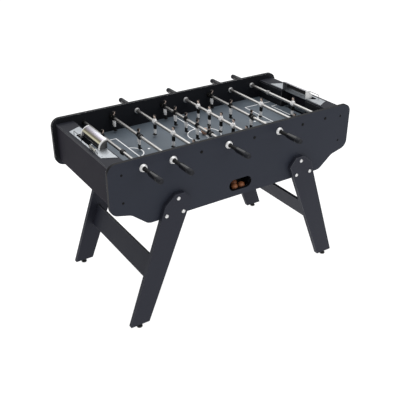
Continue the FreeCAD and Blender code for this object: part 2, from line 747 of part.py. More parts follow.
# ---------------------------------------------------------------- legs
def leg(label, hand, side):
    body = new_body(label)
    corners = [("leg_outer_low", "foot_height"), ("leg_outer_high", "shoulder_z"),
               ("leg_outer_high - leg_outer_cut", "belly_z + leg_head_rise"),
               ("leg_inner_high + leg_inner_cut", "belly_z + leg_head_rise"),
               ("leg_inner_high", "shoulder_z"), ("leg_outer_low - leg_foot_width", "foot_height")]
    corners = [("%s * (%s)" % (hand, across), up) for across, up in corners]
    add_pad(body, outline(body, "plank", "XZ_Plane", corners), "leg_thickness")
    round_edges(body, "y", corners[1:5], "leg_corner")
    bolt_holes = [(across, up, "bolt_shank + 2 * fit_gap") for across, up in leg_bolt_spots(hand)]
    add_pocket(body, circles(body, "bolt_holes", "XZ_Plane", bolt_holes))
    stem = circles(body, "foot_hole", "XY_Plane", [("%s * foot_x" % hand, "-leg_thickness / 2",
                                                    "foot_stem + 2 * fit_gap")])
    add_pocket(body, stem, "foot_height + foot_diameter + fit_gap", reverse=True)
    inner_face = "-half_width" if side == "-1" else "half_width + leg_thickness"
    return keep(place(body, y=inner_face))


for side_name, side in (("near", "-1"), ("far", "1")):
    for hand_name, hand in (("left", "-1"), ("right", "1")):
        leg("%s_%s_leg" % (side_name, hand_name), hand, side)


def stretcher():
    # plank between two legs, leaning with the middle of the legs
    plank = doc.addObject("Part::Box", "stretcher_plank")
    bind(plank, "Length", "stretcher_thickness")
    bind(plank, "Width", "2 * half_width")
    bind(plank, "Height", "stretcher_height")
    lean = value("atan((outer_slope + inner_slope) / 2)")
    edge = "leg_outer_low - (stretcher_low - foot_height) * outer_slope - stretcher_inset"
    place(plank, edge + " - stretcher_thickness", "-half_width", "stretcher_low",
          FreeCAD.Rotation(Vector(0, 1, 0), -lean))
    return plank


right_stretcher = stretcher()
keep(gather("stretchers", [right_stretcher, mirrored(right_stretcher, (1, 0, 0))]))


# ---------------------------------------------------------------- fasteners and feet
def coach_bolt():
    # dome head, shank through leg and panel; the axis points out of the table
    body = new_body("coach_bolt_turning")
    sketch = new_sketch(body, "profile", "XZ_Plane")
    seat, tail = "half_width + leg_thickness", "half_play - nut_height - bolt_tail"
    bulge = "((bolt_head / 2) ^ 2 + bolt_dome ^ 2) / (2 * bolt_dome)"
    corners = [("bolt_head / 2", seat), ("bolt_shank / 2", seat), ("bolt_shank / 2", tail),
               ("0", tail), ("0", seat + " + bolt_dome")]
    spots = [Vector(value(across), value(up), 0) for across, up in corners]
    for start, stop in zip(spots, spots[1:]):
        sketch.addGeometry(Part.LineSegment(start, stop), False)
    tilt = math.asin(value("bolt_head / 2") / value(bulge)) / 2
    sag = value(bulge) * (1 - math.cos(tilt))
    crown = Vector(value(bulge) * math.sin(tilt), spots[4].y - sag, 0)
    sketch.addGeometry(Part.Arc(spots[0], crown, spots[4]), False)
    for pair in ((0, 2, 1, 1), (1, 2, 2, 1), (2, 2, 3, 1), (3, 2, 4, 2), (4, 1, 0, 1)):
        sketch.addConstraint(Sketcher.Constraint("Coincident", *pair))
    for step, (across, up) in enumerate(corners[:4]):
        pin_point(sketch, step, 1, across, up)
    pin_point(sketch, 3, 2, *corners[4])
    rule = sketch.addConstraint(Sketcher.Constraint("Radius", 4, value(bulge)))
    bind(sketch, "Constraints[%d]" % rule, bulge)
    add_turning(body, sketch)
    return body


def nut_solid():
    across = value("nut_across") / math.sqrt(3)
    start = value("half_play - nut_height")
    corners = [Vector(across * math.cos(math.radians(60 * step)),
                      across * math.sin(math.radians(60 * step)), start) for step in range(7)]
    block = Part.Face(Part.makePolygon(corners)).extrude(Vector(0, 0, value("nut_height")))
    return block.cut(Part.makeCylinder(value("bolt_shank / 2 + fit_gap"), value("nut_height"),
                                       Vector(0, 0, start)))


def outward_spots(places):
    spots = []
    for lay in (lay_near, lay_far):
        for across, up in places:
            spots.append(FreeCAD.Placement(Vector(value(across), 0, value(up)), lay))
    return spots


bolt_places = leg_bolt_spots("1") + leg_bolt_spots("-1")
bolt_and_nut = Part.makeCompound([coach_bolt().Shape, nut_solid()])
keep(copies("leg_bolts", bolt_and_nut, outward_spots(bolt_places)))

cover = turned_piece("screw_cover_turning", [
    ("0", "half_width - cover_stem_length"), ("cover_stem / 2", "half_width - cover_stem_length"),
    ("cover_stem / 2", "half_width"), ("cover_diameter / 2", "half_width"),
    ("cover_diameter / 2 - cover_proud", "half_width + cover_proud"), ("0", "half_width + cover_proud")])
keep(copies("screw_covers", cover.Shape, outward_spots(cover_spots())))

glide = turned_piece("foot_glide_turning", [
    ("0", "0"), ("foot_diameter / 2 - 2", "0"), ("foot_diameter / 2", "3"),
    ("foot_diameter / 2", "foot_height / 2"), ("foot_diameter / 2 - 3", "foot_height"),
    ("foot_stem / 2", "foot_height"), ("foot_stem / 2", "foot_height + foot_diameter"),
    ("0", "foot_height + foot_diameter")])
keep(copies("foot_glides", glide.Shape,
            [FreeCAD.Placement(Vector(x * value("foot_x"), y * value("foot_y"), 0), FreeCAD.Rotation())
             for x in (-1, 1) for y in (-1, 1)]))


# ---------------------------------------------------------------- ball return
def ball_tray():
    # shallow tray on the bottom board, open towards the near panel
    body = new_body("ball_tray")
    half_tray = "tray_length / 2"
    outer = [("-" + half_tray, "0"), (half_tray, "0"), (half_tray, "tray_depth"),
             ("-" + half_tray, "tray_depth")]
    add_pad(body, outline(body, "block", "XY_Plane", outer), "tray_height")
    half_inside = "(tray_length / 2 - tray_wall)"
    inner = [("-" + half_inside, "-tray_wall"), (half_inside, "-tray_wall"),
             (half_inside, "tray_depth - tray_wall"), ("-" + half_inside, "tray_depth - tray_wall")]
    hollow = outline(body, "hollow", "XY_Plane", inner)
    hollow.AttachmentOffset = FreeCAD.Placement(Vector(0, 0, value("tray_wall")), FreeCAD.Rotation())
    bind(hollow, "AttachmentOffset.Base.z", "tray_wall")
    add_pocket(body, hollow, "tray_height", reverse=True)
    return keep(place(body, y="-half_play", z="bottom_top"))


ball_tray()


def ball_ramp():
    # funnel-shaped trough: as wide as the goal at the end panel, one ball wide at the tray
    wall, rail = value("ramp_wall"), value("ramp_rail")

    def trough(x, low_y, high_y, low_z):
        spots = [(low_y, rail + wall), (low_y, 0), (high_y, 0), (high_y, rail + wall),
                 (high_y - wall, rail + wall), (high_y - wall, wall), (low_y + wall, wall),
                 (low_y + wall, rail + wall)]
        corners = [Vector(x, y, low_z + up) for y, up in spots]
        return Part.makePolygon(corners + corners[:1])

    low_z = value("bottom_top + tray_height")
    side = value("half_goal + cheek_thickness")
    wide = trough(value("pocket_end"), -side, side, low_z + value("ramp_rise"))
    narrow = trough(value("tray_length / 2 - tray_wall"), -value("half_play"),
                    value("tray_depth - half_play"), low_z)
    thing = doc.addObject("Part::Feature", "ball_ramp_trough")
    thing.Shape = Part.makeLoft([wide, narrow], True, True)
    return thing


right_ramp = ball_ramp()
keep(gather("ball_ramps", [right_ramp, mirrored(right_ramp, (1, 0, 0))]))


def game_ball(name, x, y, z):
    ball = doc.addObject("Part::Sphere", name)
    bind(ball, "Radius", "ball_diameter / 2")
    return place(ball, x, y, z)


tray_floor = "bottom_top + tray_wall + ball_diameter / 2"
first_row = "-half_play + ball_diameter / 2 + 1"
balls = [game_ball("kick_off_ball", "0", "0", "pitch_z + ball_diameter / 2"),
         game_ball("tray_ball_1", "-ball_row_start", first_row, tray_floor),
         game_ball("tray_ball_2", "ball_spread - ball_row_start", first_row, tray_floor),
         game_ball("tray_ball_3", "ball_spread / 2 - ball_row_start",
                   first_row + " + ball_diameter", tray_floor)]
keep(gather("game_balls", balls))

# ---------------------------------------------------------------- check and write
doc.recompute()
for thing in doc.Objects:
    if "Invalid" in thing.State or "Error" in thing.State:
        raise RuntimeError("failed: " + thing.Label)
for part in parts:
    if part.Shape.isNull() or not part.Shape.isValid() or not part.Shape.Solids:
        raise RuntimeError("bad shape: " + part.Label)

os.makedirs("parts", exist_ok=True)
for part in parts:
    part.Shape.exportStep("parts/" + part.Label + ".step")
print(len(parts), "sub-parts written")
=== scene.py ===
import json
import math

import bmesh
import bpy
from mathutils import Matrix, Vector

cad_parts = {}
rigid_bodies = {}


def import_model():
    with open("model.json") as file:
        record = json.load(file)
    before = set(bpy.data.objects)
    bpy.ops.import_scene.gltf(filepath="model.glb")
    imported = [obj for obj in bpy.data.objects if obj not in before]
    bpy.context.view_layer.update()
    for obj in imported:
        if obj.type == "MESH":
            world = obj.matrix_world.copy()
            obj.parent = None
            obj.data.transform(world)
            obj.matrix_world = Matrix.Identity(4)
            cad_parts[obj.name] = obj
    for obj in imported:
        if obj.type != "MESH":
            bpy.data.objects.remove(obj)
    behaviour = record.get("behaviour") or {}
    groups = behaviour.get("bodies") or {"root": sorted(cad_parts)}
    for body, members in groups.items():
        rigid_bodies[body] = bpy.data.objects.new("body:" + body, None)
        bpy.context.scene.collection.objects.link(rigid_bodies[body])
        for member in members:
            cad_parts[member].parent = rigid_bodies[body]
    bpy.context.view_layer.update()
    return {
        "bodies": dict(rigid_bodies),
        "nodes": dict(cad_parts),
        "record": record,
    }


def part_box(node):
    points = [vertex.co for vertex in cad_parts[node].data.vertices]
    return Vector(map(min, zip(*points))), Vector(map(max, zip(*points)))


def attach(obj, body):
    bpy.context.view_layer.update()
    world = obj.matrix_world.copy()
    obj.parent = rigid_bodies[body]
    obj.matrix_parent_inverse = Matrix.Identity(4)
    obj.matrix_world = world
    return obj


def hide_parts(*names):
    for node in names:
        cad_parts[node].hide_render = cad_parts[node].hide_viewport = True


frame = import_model()
nodes = frame["nodes"]
nodesOfBody = frame["record"]["behaviour"]["bodies"]
bodyOfNode = {node: body for body, members in nodesOfBody.items() for node in members}
rows = [name.removesuffix("_rod") for name in frame["bodies"] if name.endswith("_rod")]


# Finishes


class Shade:  # a node's output, with arithmetic
    def __init__(self, finish, socket):
        self.finish = finish
        self.socket = socket

    def apply(self, operation, *terms):
        return self.finish.node("ShaderNodeMath", {"operation": operation}, dict(enumerate(terms)))

    def __add__(self, other):
        return self.apply("ADD", self, other)

    def __radd__(self, other):
        return self.apply("ADD", other, self)

    def __sub__(self, other):
        return self.apply("SUBTRACT", self, other)

    def __rsub__(self, other):
        return self.apply("SUBTRACT", other, self)

    def __mul__(self, other):
        return self.apply("MULTIPLY", self, other)

    def __rmul__(self, other):
        return self.apply("MULTIPLY", other, self)

    def __truediv__(self, other):
        return self.apply("DIVIDE", self, other)

    def __pow__(self, other):
        return self.apply("POWER", self, other)

    def __abs__(self):
        return self.apply("ABSOLUTE", self)

    def most(self, other):
        return self.apply("MAXIMUM", self, other)

    def over(self, edge, soft):  # 0 below the edge, 1 above it
        limits = {"Value": self, "From Min": edge - soft, "From Max": edge + soft}
        return self.finish.node("ShaderNodeMapRange", {"interpolation_type": "SMOOTHSTEP"}, limits)

    def under(self, edge, soft):
        return 1 - self.over(edge, soft)

    def band(self, middle, half, soft):  # 1 within half of the middle
        return abs(self - middle).under(half, soft)


class Finish:  # a material with one Principled shader
    def __init__(self, name, constants):
        self.material = bpy.data.materials.new(name)
        self.material.use_nodes = True
        self.tree = self.material.node_tree
        self.shader = self.tree.nodes["Principled BSDF"]
        for socket, value in constants.items():
            self.shader.inputs[socket].default_value = value

    def node(self, kind, settings, inputs, out=0):
        made = self.tree.nodes.new(kind)
        for key, value in settings.items():
            if key == "stops":  # in order, the first at 0 and the last at 1
                elements = made.color_ramp.elements
                for place, colour in value[1:-1]:
                    elements.new(place).color = colour
                elements[0].color = value[0][1]
                elements[-1].color = value[-1][1]
            else:
                setattr(made, key, value)
        for key, value in inputs.items():
            if isinstance(value, Shade):
                self.tree.links.new(value.socket, made.inputs[key])
            else:
                made.inputs[key].default_value = value
        return Shade(self, made.outputs[out])

    def place(self, stretch=(1, 1, 1)):  # metres on the object
        where = self.node("ShaderNodeTexCoord", {}, {}, "Object")
        if tuple(stretch) == (1, 1, 1):
            return where
        return self.node("ShaderNodeMapping", {}, {"Vector": where, "Scale": stretch})

    def axis(self, letter):
        return self.node("ShaderNodeSeparateXYZ", {}, {"Vector": self.place()}, letter)

    def noise(self, scale, detail=2.0, stretch=(1, 1, 1), rough=0.5):
        inputs = {"Vector": self.place(stretch), "Scale": scale, "Detail": detail, "Roughness": rough}
        return self.node("ShaderNodeTexNoise", {}, inputs, "Fac")

    def attribute(self, name):
        return self.node("ShaderNodeAttribute", {"attribute_name": name}, {}, "Fac")

    def blend(self, mask, first, second):  # sockets 6 and 7 are the Mix node's colours, output 2 is theirs
        return self.node("ShaderNodeMix", {"data_type": "RGBA"}, {0: mask, 6: first, 7: second}, 2)

    def feed(self, socket, value):
        self.tree.links.new(value.socket, self.shader.inputs[socket])

    def bump(self, height, strength, depth):
        inputs = {"Strength": strength, "Distance": depth, "Height": height}
        self.feed("Normal", self.node("ShaderNodeBump", {}, inputs))


def grey(level, warm=0.0):
    return (level * (1 + warm), level, level * (1 - warm), 1)


# satin board, paler on its rounded rims, a painted highlight; a side panel's sheltered inner face takes a
# darker colour, painted shade
def makeLaminate(name, face, vein, inside=None, shine=0.16, rough=0.48):
    look = {
        # rim and brightRim are painted highlight colours for the rounded rims
        "rim": (0.20, 0.205, 0.22, 1), "brightRim": (0.80, 0.79, 0.78, 1), "band": (0.004, 0.004, 0.005, 1),
        "insideReach": 0.3035, "insideFrom": 0.66, "innerRim": 0.3056, "outerFace": 0.3206, "soft": 0.0003,
        "grain": 220, "alongGrain": (0.06, 1, 1), "pores": 900, "alongPores": (0.2, 1, 1),
    }
    soft = look["soft"]
    laminate = Finish(name, {"Specular IOR Level": shine})
    y, z = laminate.axis("Y"), laminate.axis("Z")
    grain = laminate.noise(look["grain"], 4, look["alongGrain"], 0.6)
    cloud = laminate.noise(3, 2)
    colour = laminate.blend((grain * 0.5 + cloud * 0.5).over(0.5, 0.4), face, vein)
    # painted highlight: the rounded rims are painted paler
    rim = laminate.attribute("rim") * (0.55 + 0.45 * laminate.noise(30, 3))
    rimHighlightColour = look["rim"]
    if inside:  # painted shade on the sheltered inner face, a black edge band between the two faces, and a painted highlight along its inner rim
        # painted shade: the sheltered inner face takes the darker inside colour
        shelteredPaintedShade = abs(y).under(look["insideReach"], 0.0004) * z.over(look["insideFrom"], 0.02)
        colour = laminate.blend(shelteredPaintedShade, colour, inside)
        band = abs(y).over(look["innerRim"], soft) * abs(y).under(look["outerFace"], 0.0002)
        colour = laminate.blend(band, colour, look["band"])
        rim = rim * abs(y).under(look["innerRim"], soft)
        rimHighlightColour = look["brightRim"]
    laminate.feed("Base Color", laminate.blend(rim, colour, rimHighlightColour))
    laminate.feed("Roughness", rough + 0.08 * laminate.noise(12, 3) + 0.05 * grain)
    laminate.bump(laminate.noise(look["pores"], 2, look["alongPores"]) + 0.3 * grain, 0.10, 0.0003)
    return laminate


def makePitch():  # grey-blue field with white marks
    look = {
        "field": (0.106, 0.130, 0.156, 1),
        "shade": (0.088, 0.110, 0.134, 1),
        "mark": (0.92, 0.93, 0.94, 1),
        "line": 0.0030,  # half the width of a line
        "circle": 0.086,
        "box": (0.405, 0.198),
        "goalBox": (0.546, 0.135),
        "arc": (0.424, 0.063),
        "spot": (0.324, 0.006),
        "top": 0.7555,
        "soft": 0.0003,
    }
    pitch = Finish("pitchSurface", {"Specular IOR Level": 0.45})
    across, along = abs(pitch.axis("Y")), abs(pitch.axis("X"))
    line, soft = look["line"], look["soft"]

    def distance(centre):
        return ((along - centre) ** 2 + across**2) ** 0.5

    def outline(reach, half):
        goalSide = along.band(reach, line, soft) * across.under(half + line, soft)
        flank = across.band(half, line, soft) * along.over(reach - line, soft)
        return goalSide.most(flank)

    arcCentre, arcRadius = look["arc"]
    spotCentre, spotRadius = look["spot"]
    arc = distance(arcCentre).band(arcRadius, line, soft) * along.under(look["box"][0], soft)
    marks = along.band(0, line, soft).most(distance(0).band(look["circle"], line, soft))
    marks = marks.most(outline(*look["box"])).most(outline(*look["goalBox"]))
    marks = marks.most(arc).most(distance(spotCentre).under(spotRadius, 0.0005))
    # printed lines, worn in places
    worn = marks * (0.86 + 0.14 * pitch.noise(160, 3))
    onTop = pitch.axis("Z").over(look["top"], 0.0002)
    field = pitch.blend(pitch.noise(9, 4).over(0.5, 0.3), look["field"], look["shade"])
    pitch.feed("Base Color", pitch.blend(worn * onTop, field, look["mark"]))
    pitch.feed("Roughness", 0.44 + 0.14 * pitch.noise(22, 3) - 0.08 * marks)
    pitch.bump(pitch.noise(1400, 2) + 0.6 * marks, 0.08, 0.0003)
    return pitch


def makeMetal(name, colour, dark, rough, alongGrain=(1, 1, 1), depth=0.0001, metallic=1.0):
    metal = Finish(name, {"Metallic": metallic})
    grain = metal.noise(900, 3, alongGrain, 0.6)
    cloud = metal.noise(14, 3)
    metal.feed("Base Color", metal.blend((cloud * 0.6 + grain * 0.4).over(0.5, 0.3), colour, dark))
    metal.feed("Roughness", rough + 0.10 * cloud + 0.06 * grain)
    metal.bump(grain, 0.10, depth)
    return metal


def makeHoodPaintedReflections():  # painted reflections: a painted highlight bright along the top, painted reflection darker and warmer towards the lip
    look = {
        "stops": [
            (0.0, (0.62, 0.62, 0.65, 1)), (0.35, (0.52, 0.505, 0.56, 1)), (0.55, (0.31, 0.285, 0.325, 1)),
            (0.76, (0.21, 0.195, 0.16, 1)), (0.87, (0.34, 0.31, 0.19, 1)), (0.91, (0.85, 0.81, 0.60, 1)),
            (1.0, (0.80, 0.76, 0.58, 1)),
        ],
        "start": 0.585, "reach": 0.0373,
    }
    steel = Finish("hoodSteel", {"Metallic": 1.0})
    outward = (abs(steel.axis("X")) - look["start"]) / look["reach"]
    grain = steel.noise(900, 3, (1, 0.04, 1), 0.6)
    place = {"Fac": outward + 0.05 * grain}
    # the ramp paints the highlight and reflections by distance out from the hood's axis
    steel.feed("Base Color", steel.node("ShaderNodeValToRGB", {"stops": look["stops"]}, place, "Color"))
    steel.feed("Roughness", 0.38 + 0.10 * grain)
    steel.bump(grain, 0.10, 0.0001)
    return steel


def makePlastic(name, colour, dark, rough, coat=0.0, shine=0.5):
    plastic = Finish(name, {"Specular IOR Level": shine, "Coat Weight": coat, "Coat Roughness": 0.25})
    plastic.feed("Base Color", plastic.blend(plastic.noise(28, 3).over(0.5, 0.25), colour, dark))
    plastic.feed("Roughness", rough + 0.12 * plastic.noise(60, 3))
    plastic.bump(plastic.noise(700, 2), 0.10, 0.0002)
    return plastic


def makeGrip():  # dull black neck, glossier sleeve and dull end
    look = {
        "neck": (0.002, 0.002, 0.003, 1),
        "sleeve": (0.007, 0.0075, 0.010, 1),
        "end": (0.003, 0.0042, 0.008, 1),
        "start": 0.334, "farShift": 0.017, "sleeveFrom": 0.052, "sleeveTo": 0.1175,
    }
    grip = Finish("gripRubber", {"Specular IOR Level": 0.36})
    y = grip.axis("Y")
    along = abs(y) - look["start"] - look["farShift"] * y.over(0, 0.0005)
    sleeve, end = along.over(look["sleeveFrom"], 0.006), along.over(look["sleeveTo"], 0.0006)
    grip.feed("Base Color", grip.blend(end, grip.blend(sleeve, look["neck"], look["sleeve"]), look["end"]))
    grip.feed("Roughness", 0.60 - 0.40 * sleeve + 0.42 * end + 0.10 * grip.noise(60, 3))
    grip.bump(grip.noise(1100, 2), 0.12, 0.0002)
    return grip


def makeBall():  # cork brown, painted paler on the ball in play: painted light, as it lies lit on the open pitch
    look = {
        "cork": ((0.33, 0.125, 0.052, 1), (0.25, 0.085, 0.035, 1)),
        "worn": ((0.46, 0.27, 0.19, 1), (0.38, 0.21, 0.14, 1)),
        "pitch": 0.74,
    }
    ball = Finish("ballBrown", {"Specular IOR Level": 0.4})
    cork = ball.blend(ball.noise(28, 3).over(0.5, 0.25), *look["cork"])
    worn = ball.blend(ball.noise(90, 4).over(0.5, 0.25), *look["worn"])
    # painted light: the ball above the pitch height takes the paler colours
    ball.feed("Base Color", ball.blend(ball.axis("Z").over(look["pitch"], 0.01), cork, worn))
    ball.feed("Roughness", 0.42 + 0.12 * ball.noise(60, 3))
    ball.bump(ball.noise(500, 3), 0.12, 0.0003)
    return ball


laminate = makeLaminate("charcoalLaminate", (0.018, 0.0195, 0.0295, 1), (0.022, 0.024, 0.0345, 1))
# the side panels' last colour is painted shade for their sheltered inner faces
sideLaminate = makeLaminate(
    "charcoalSide", (0.0185, 0.022, 0.033, 1), (0.0225, 0.026, 0.038, 1), (0.007, 0.008, 0.011, 1))
endLaminate = makeLaminate(
    "charcoalEnd", (0.014, 0.013, 0.020, 1), (0.018, 0.017, 0.024, 1), shine=0.08, rough=0.62)
shelfLaminate = makeLaminate("charcoalShelf", (0.0140, 0.0152, 0.0215, 1), (0.0175, 0.0190, 0.0260, 1))
wallLaminate = makeLaminate("charcoalWall", (0.008, 0.009, 0.012, 1), (0.012, 0.013, 0.016, 1))
pitchFinish = makePitch()
hoodSteel = makeHoodPaintedReflections()
cheekGrey = makeMetal("cheekGrey", grey(0.14), grey(0.10), 0.42)
plateSteel = makeMetal(
    "plateSteel", (0.48, 0.505, 0.53, 1), (0.41, 0.435, 0.46, 1), 0.34, (0.05, 1, 1), 0.00015)
chrome = makeMetal(
    "chromePlate", (0.45, 0.445, 0.435, 1), (0.41, 0.405, 0.395, 1), 0.32, (1, 0.02, 1), 0.00003)
zincSteel = makeMetal("zincSteel", grey(0.70), grey(0.60), 0.22)
nutSteel = makeMetal("nutSteel", grey(0.78), grey(0.66), 0.30, metallic=0.7)
wireSteel = makeMetal("wireSteel", grey(0.16), grey(0.12), 0.30, (1, 0.05, 1), 0.00005)
blackPlastic = makePlastic("blackPlastic", grey(0.010), grey(0.015), 0.42)
coverBlack = makePlastic("coverBlack", grey(0.003), grey(0.006), 0.6, shine=0.12)
ringSteel = makeMetal("ringSteel", grey(0.93), grey(0.88), 0.28, depth=0.00005, metallic=0.45)
rimSteel = makeMetal(
    "rimSteel", (0.94, 0.94, 0.93, 1), (0.88, 0.88, 0.87, 1), 0.40, (1, 0.1, 1), 0.00005, metallic=0.25)
gripRubber = makeGrip()
markerPlastic = makePlastic("markerPlastic", (0.72, 0.71, 0.64, 1), (0.64, 0.63, 0.56, 1), 0.40)
collarGrey = makePlastic("collarGrey", grey(0.30, -0.01), grey(0.25), 0.38)
ballFinish = makeBall()
hoodInside = makePlastic("hoodInside", grey(0.012), grey(0.02), 0.5)
# a paler copy of the cheek grey: painted light for the cheek's inner face
cheekInside = makePlastic("cheekInside", (0.18, 0.185, 0.20, 1), (0.14, 0.145, 0.16, 1), 0.5)
skinPaint = makePlastic("skinPaint", (0.68, 0.55, 0.48, 1), (0.60, 0.48, 0.42, 1), 0.40, 0.1)
hairPaint = makePlastic(
    "hairPaint", (0.016, 0.011, 0.009, 1), (0.010, 0.008, 0.007, 1), 0.46, shine=0.22)
blackPaint = makePlastic("blackPaint", grey(0.003), grey(0.005), 0.46, shine=0.22)
whitePaint = makePlastic("whitePaint", grey(0.94, 0.005), grey(0.90, 0.005), 0.36, 0.1)
print("finishes made")


# Making and placing

making = {
    "smoothAngle": 38,  # sharper edges stay crisp
    "broadFace": 0.0015,  # square metres, past which a face is shaded flat
    "flush": 0.9999,  # how nearly a board's face has to look along its thickness to be shaded flat
    "flatAngle": 0.5,  # degrees, within which a board's triangles are one face
    "weld": 0.00001,  # metres, within which points are joined
    "fineWeld": 0.000005,
}


def camel(name):
    first, *others = name.split("_")
    return first + "".join(word.title() for word in others)


def addPiece(name, mesh, body, finishes, replaced, smoothAngle=making["smoothAngle"]):
    data = bpy.data.meshes.new(name)
    mesh.to_mesh(data)
    mesh.free()
    data.set_sharp_from_angle(angle=math.radians(smoothAngle))
    for polygon in data.polygons:
        polygon.use_smooth = polygon.area < making["broadFace"]
    piece = bpy.data.objects.new(name, data)
    bpy.context.scene.collection.objects.link(piece)
    for finish in finishes:
        data.materials.append(finish.material)
    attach(piece, body)
    if replaced:
        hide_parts(*replaced)
    return piece


def addCopy(target, source, place=None, keep=False):
    spare = bpy.data.meshes.new("spare")
    source.to_mesh(spare)
    if place is not None:
        spare.transform(place)
        if place.determinant() < 0:
            spare.flip_normals()
    target.from_mesh(spare)
    bpy.data.meshes.remove(spare)
    if not keep:
        source.free()


def addPair(target, source):  # a shape on a figure's left side and its mirror image on the right
    addCopy(target, source, keep=True)
    addCopy(target, source, Matrix.Diagonal((1, -1, 1, 1)))


def placed(source, places):  # a new mesh that holds the shape at each place
    mesh = bmesh.new()
    for place in places:
        addCopy(mesh, source, place, keep=True)
    source.free()
    return mesh


def fromNode(name):
    mesh = bmesh.new()
    mesh.from_mesh(nodes[name].data)
    bmesh.ops.remove_doubles(mesh, verts=mesh.verts, dist=making["weld"])
    return mesh


def islands(name):  # lowest and highest corner of each solid in a node
    mesh = fromNode(name)
    left = set(mesh.verts)
    found = []
    while left:
        start = left.pop()
        group, border = {start}, [start]
        while border:
            vert = border.pop()
            fresh = {link.other_vert(vert) for link in vert.link_edges} - group
            group |= fresh
            border += fresh
        left -= group
        low = Vector(min(vert.co[axis] for vert in group) for axis in range(3))
        high = Vector(max(vert.co[axis] for vert in group) for axis in range(3))
        found.append((low, high))
    mesh.free()
    return sorted(found, key=lambda pair: tuple(round(value, 4) for value in pair[0]))


def sideOf(low, high):  # 1 on the far side, -1 on the near side
    return 1 if low.y + high.y > 0 else -1


def rodAxis(row):
    low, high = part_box(row + "_tube")
    return (low.x + high.x) / 2, (low.z + high.z) / 2


def rodFittings(name):  # x, side and height of each fitting that a node's solids make on the rods
    heights = {}
    for low, high in islands(name):
        key = (round((low.x + high.x) / 2, 3), sideOf(low, high))
        heights.setdefault(key, []).append((low.z + high.z) / 2)
    return [(x, side, sum(each) / len(each)) for (x, side), each in sorted(heights.items())]


def turnedTo(side):  # the turn that points a shape made for side 1 to either side
    return Matrix.Identity(4) if side > 0 else Matrix.Rotation(math.pi, 4, "Z")


def alongY(x, start, z, side):  # carries a shape made about +Y to a place, pointing to that side
    return Matrix.Translation((x, start, z)) @ turnedTo(side)


def upright(x, y, z):  # +Y becomes +Z
    return Matrix.Translation((x, y, z)) @ Matrix.Rotation(math.pi / 2, 4, "X")


def vertsOf(geom):
    return [item for item in geom if isinstance(item, bmesh.types.BMVert)]


def edgesOf(geom, verts):
    edges = [item for item in geom if isinstance(item, bmesh.types.BMEdge)]
    return [edge for edge in edges if all(end in verts for end in edge.verts)]


def painted(mesh, index):
    for face in mesh.faces:
        face.material_index = index
    return mesh


def soften(mesh, width, segments=2, angle=30):
    limit = math.radians(angle)
    edges = [edge for edge in mesh.edges if len(edge.link_faces) == 2 and edge.calc_face_angle(0) > limit]
    return bmesh.ops.bevel(
        mesh, geom=edges, offset=width, offset_type="OFFSET", affect="EDGES", segments=segments, profile=0.5,
        material=-1, clamp_overlap=True)


# (along, radius) pairs spun about +Y; width rounds the edges
def turned(profile, steps=32, closed=False, materialOf=None, width=0.0):
    mesh = bmesh.new()
    points = [mesh.verts.new((radius, along, 0)) for along, radius in profile]
    pairs = list(zip(points, points[1:])) + ([(points[-1], points[0])] if closed else [])
    edges = [mesh.edges.new(pair) for pair in pairs]
    bmesh.ops.spin(
        mesh, geom=points + edges, cent=(0, 0, 0), axis=(0, 1, 0), angle=2 * math.pi, steps=steps,
        use_merge=True)
    bmesh.ops.remove_doubles(mesh, verts=mesh.verts, dist=making["fineWeld"])
    bmesh.ops.recalc_face_normals(mesh, faces=mesh.faces)
    if materialOf:
        for face in mesh.faces:
            middle = face.calc_center_median()
            face.material_index = materialOf(middle.y, math.hypot(middle.x, middle.z))
    if width:
        soften(mesh, width)
    return mesh


# rings of (z, centre x, centre y, half depth, half width), closed at both ends
def lofted(rings, sides, unit):
    mesh = bmesh.new()
    made = bmesh.ops.create_circle(mesh, cap_ends=True, radius=1, segments=sides)
    verts, edges = made["verts"], list(mesh.edges)
    last = Matrix.Identity(4)
    for index, ring in enumerate(rings):
        if index:
            grown = bmesh.ops.extrude_edge_only(mesh, edges=edges)["geom"]
            verts = vertsOf(grown)
            edges = edgesOf(grown, verts)
        z, x, y, depth, width = (value * unit for value in ring)
        goal = Matrix.Translation((x, y, z)) @ Matrix.Diagonal((depth, width, 1, 1))
        bmesh.ops.transform(mesh, matrix=goal @ last.inverted(), verts=verts)
        last = goal
    bmesh.ops.contextual_create(mesh, geom=edges)
    bmesh.ops.recalc_face_normals(mesh, faces=mesh.faces)
    return mesh


# (x, z) outline drawn out along Y; width rounds the edges
def extruded(profile, low, high, width=0.0):
    mesh = bmesh.new()
    face = mesh.faces.new([mesh.verts.new((x, low, z)) for x, z in profile])
    grown = bmesh.ops.extrude_face_region(mesh, geom=[face])["geom"]
    bmesh.ops.translate(mesh, vec=(0, high - low, 0), verts=vertsOf(grown))
    bmesh.ops.recalc_face_normals(mesh, faces=mesh.faces)
    if width:
        soften(mesh, width)
    return mesh


# Boards


def addBoard(name, source, finishes, width, extra=None, sharp=40):
    mesh = fromNode(source)
    limit = math.radians(making["flatAngle"])
    bmesh.ops.dissolve_limit(mesh, angle_limit=limit, verts=mesh.verts, edges=mesh.edges)
    # the rim layer marks the rounded edges where the laminate paints its highlight
    layer = mesh.verts.layers.float.new("rim")
    rounded = soften(mesh, width, 3, sharp)
    curved = set(rounded["faces"])
    for vert in rounded["verts"]:
        if all(face in curved for face in vert.link_faces):
            vert[layer] = 1.0
    if extra:
        extra(mesh)
    board = addPiece(name, mesh, bodyOfNode[source], finishes, [source])
    low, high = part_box(source)
    thin = min(range(3), key=lambda axis: high[axis] - low[axis])
    for polygon in board.data.polygons:
        if abs(polygon.normal[thin]) > making["flush"]:
            polygon.use_smooth = False


def addNotchStrips(mesh):  # folded metal edge where the keeper's foot swings past
    look = {"face": 0.5967, "sheet": 0.0012, "low": 0.8495, "high": 0.8569, "half": 0.0985, "round": 0.0003}
    inner, outer = look["face"], look["face"] + look["sheet"]
    profile = [(inner, look["low"]), (outer, look["low"]), (outer, look["high"]), (inner, look["high"])]
    for side in (-1, 1):
        strip = extruded(profile, -look["half"], look["half"], look["round"])
        addCopy(mesh, painted(strip, 1), turnedTo(side))


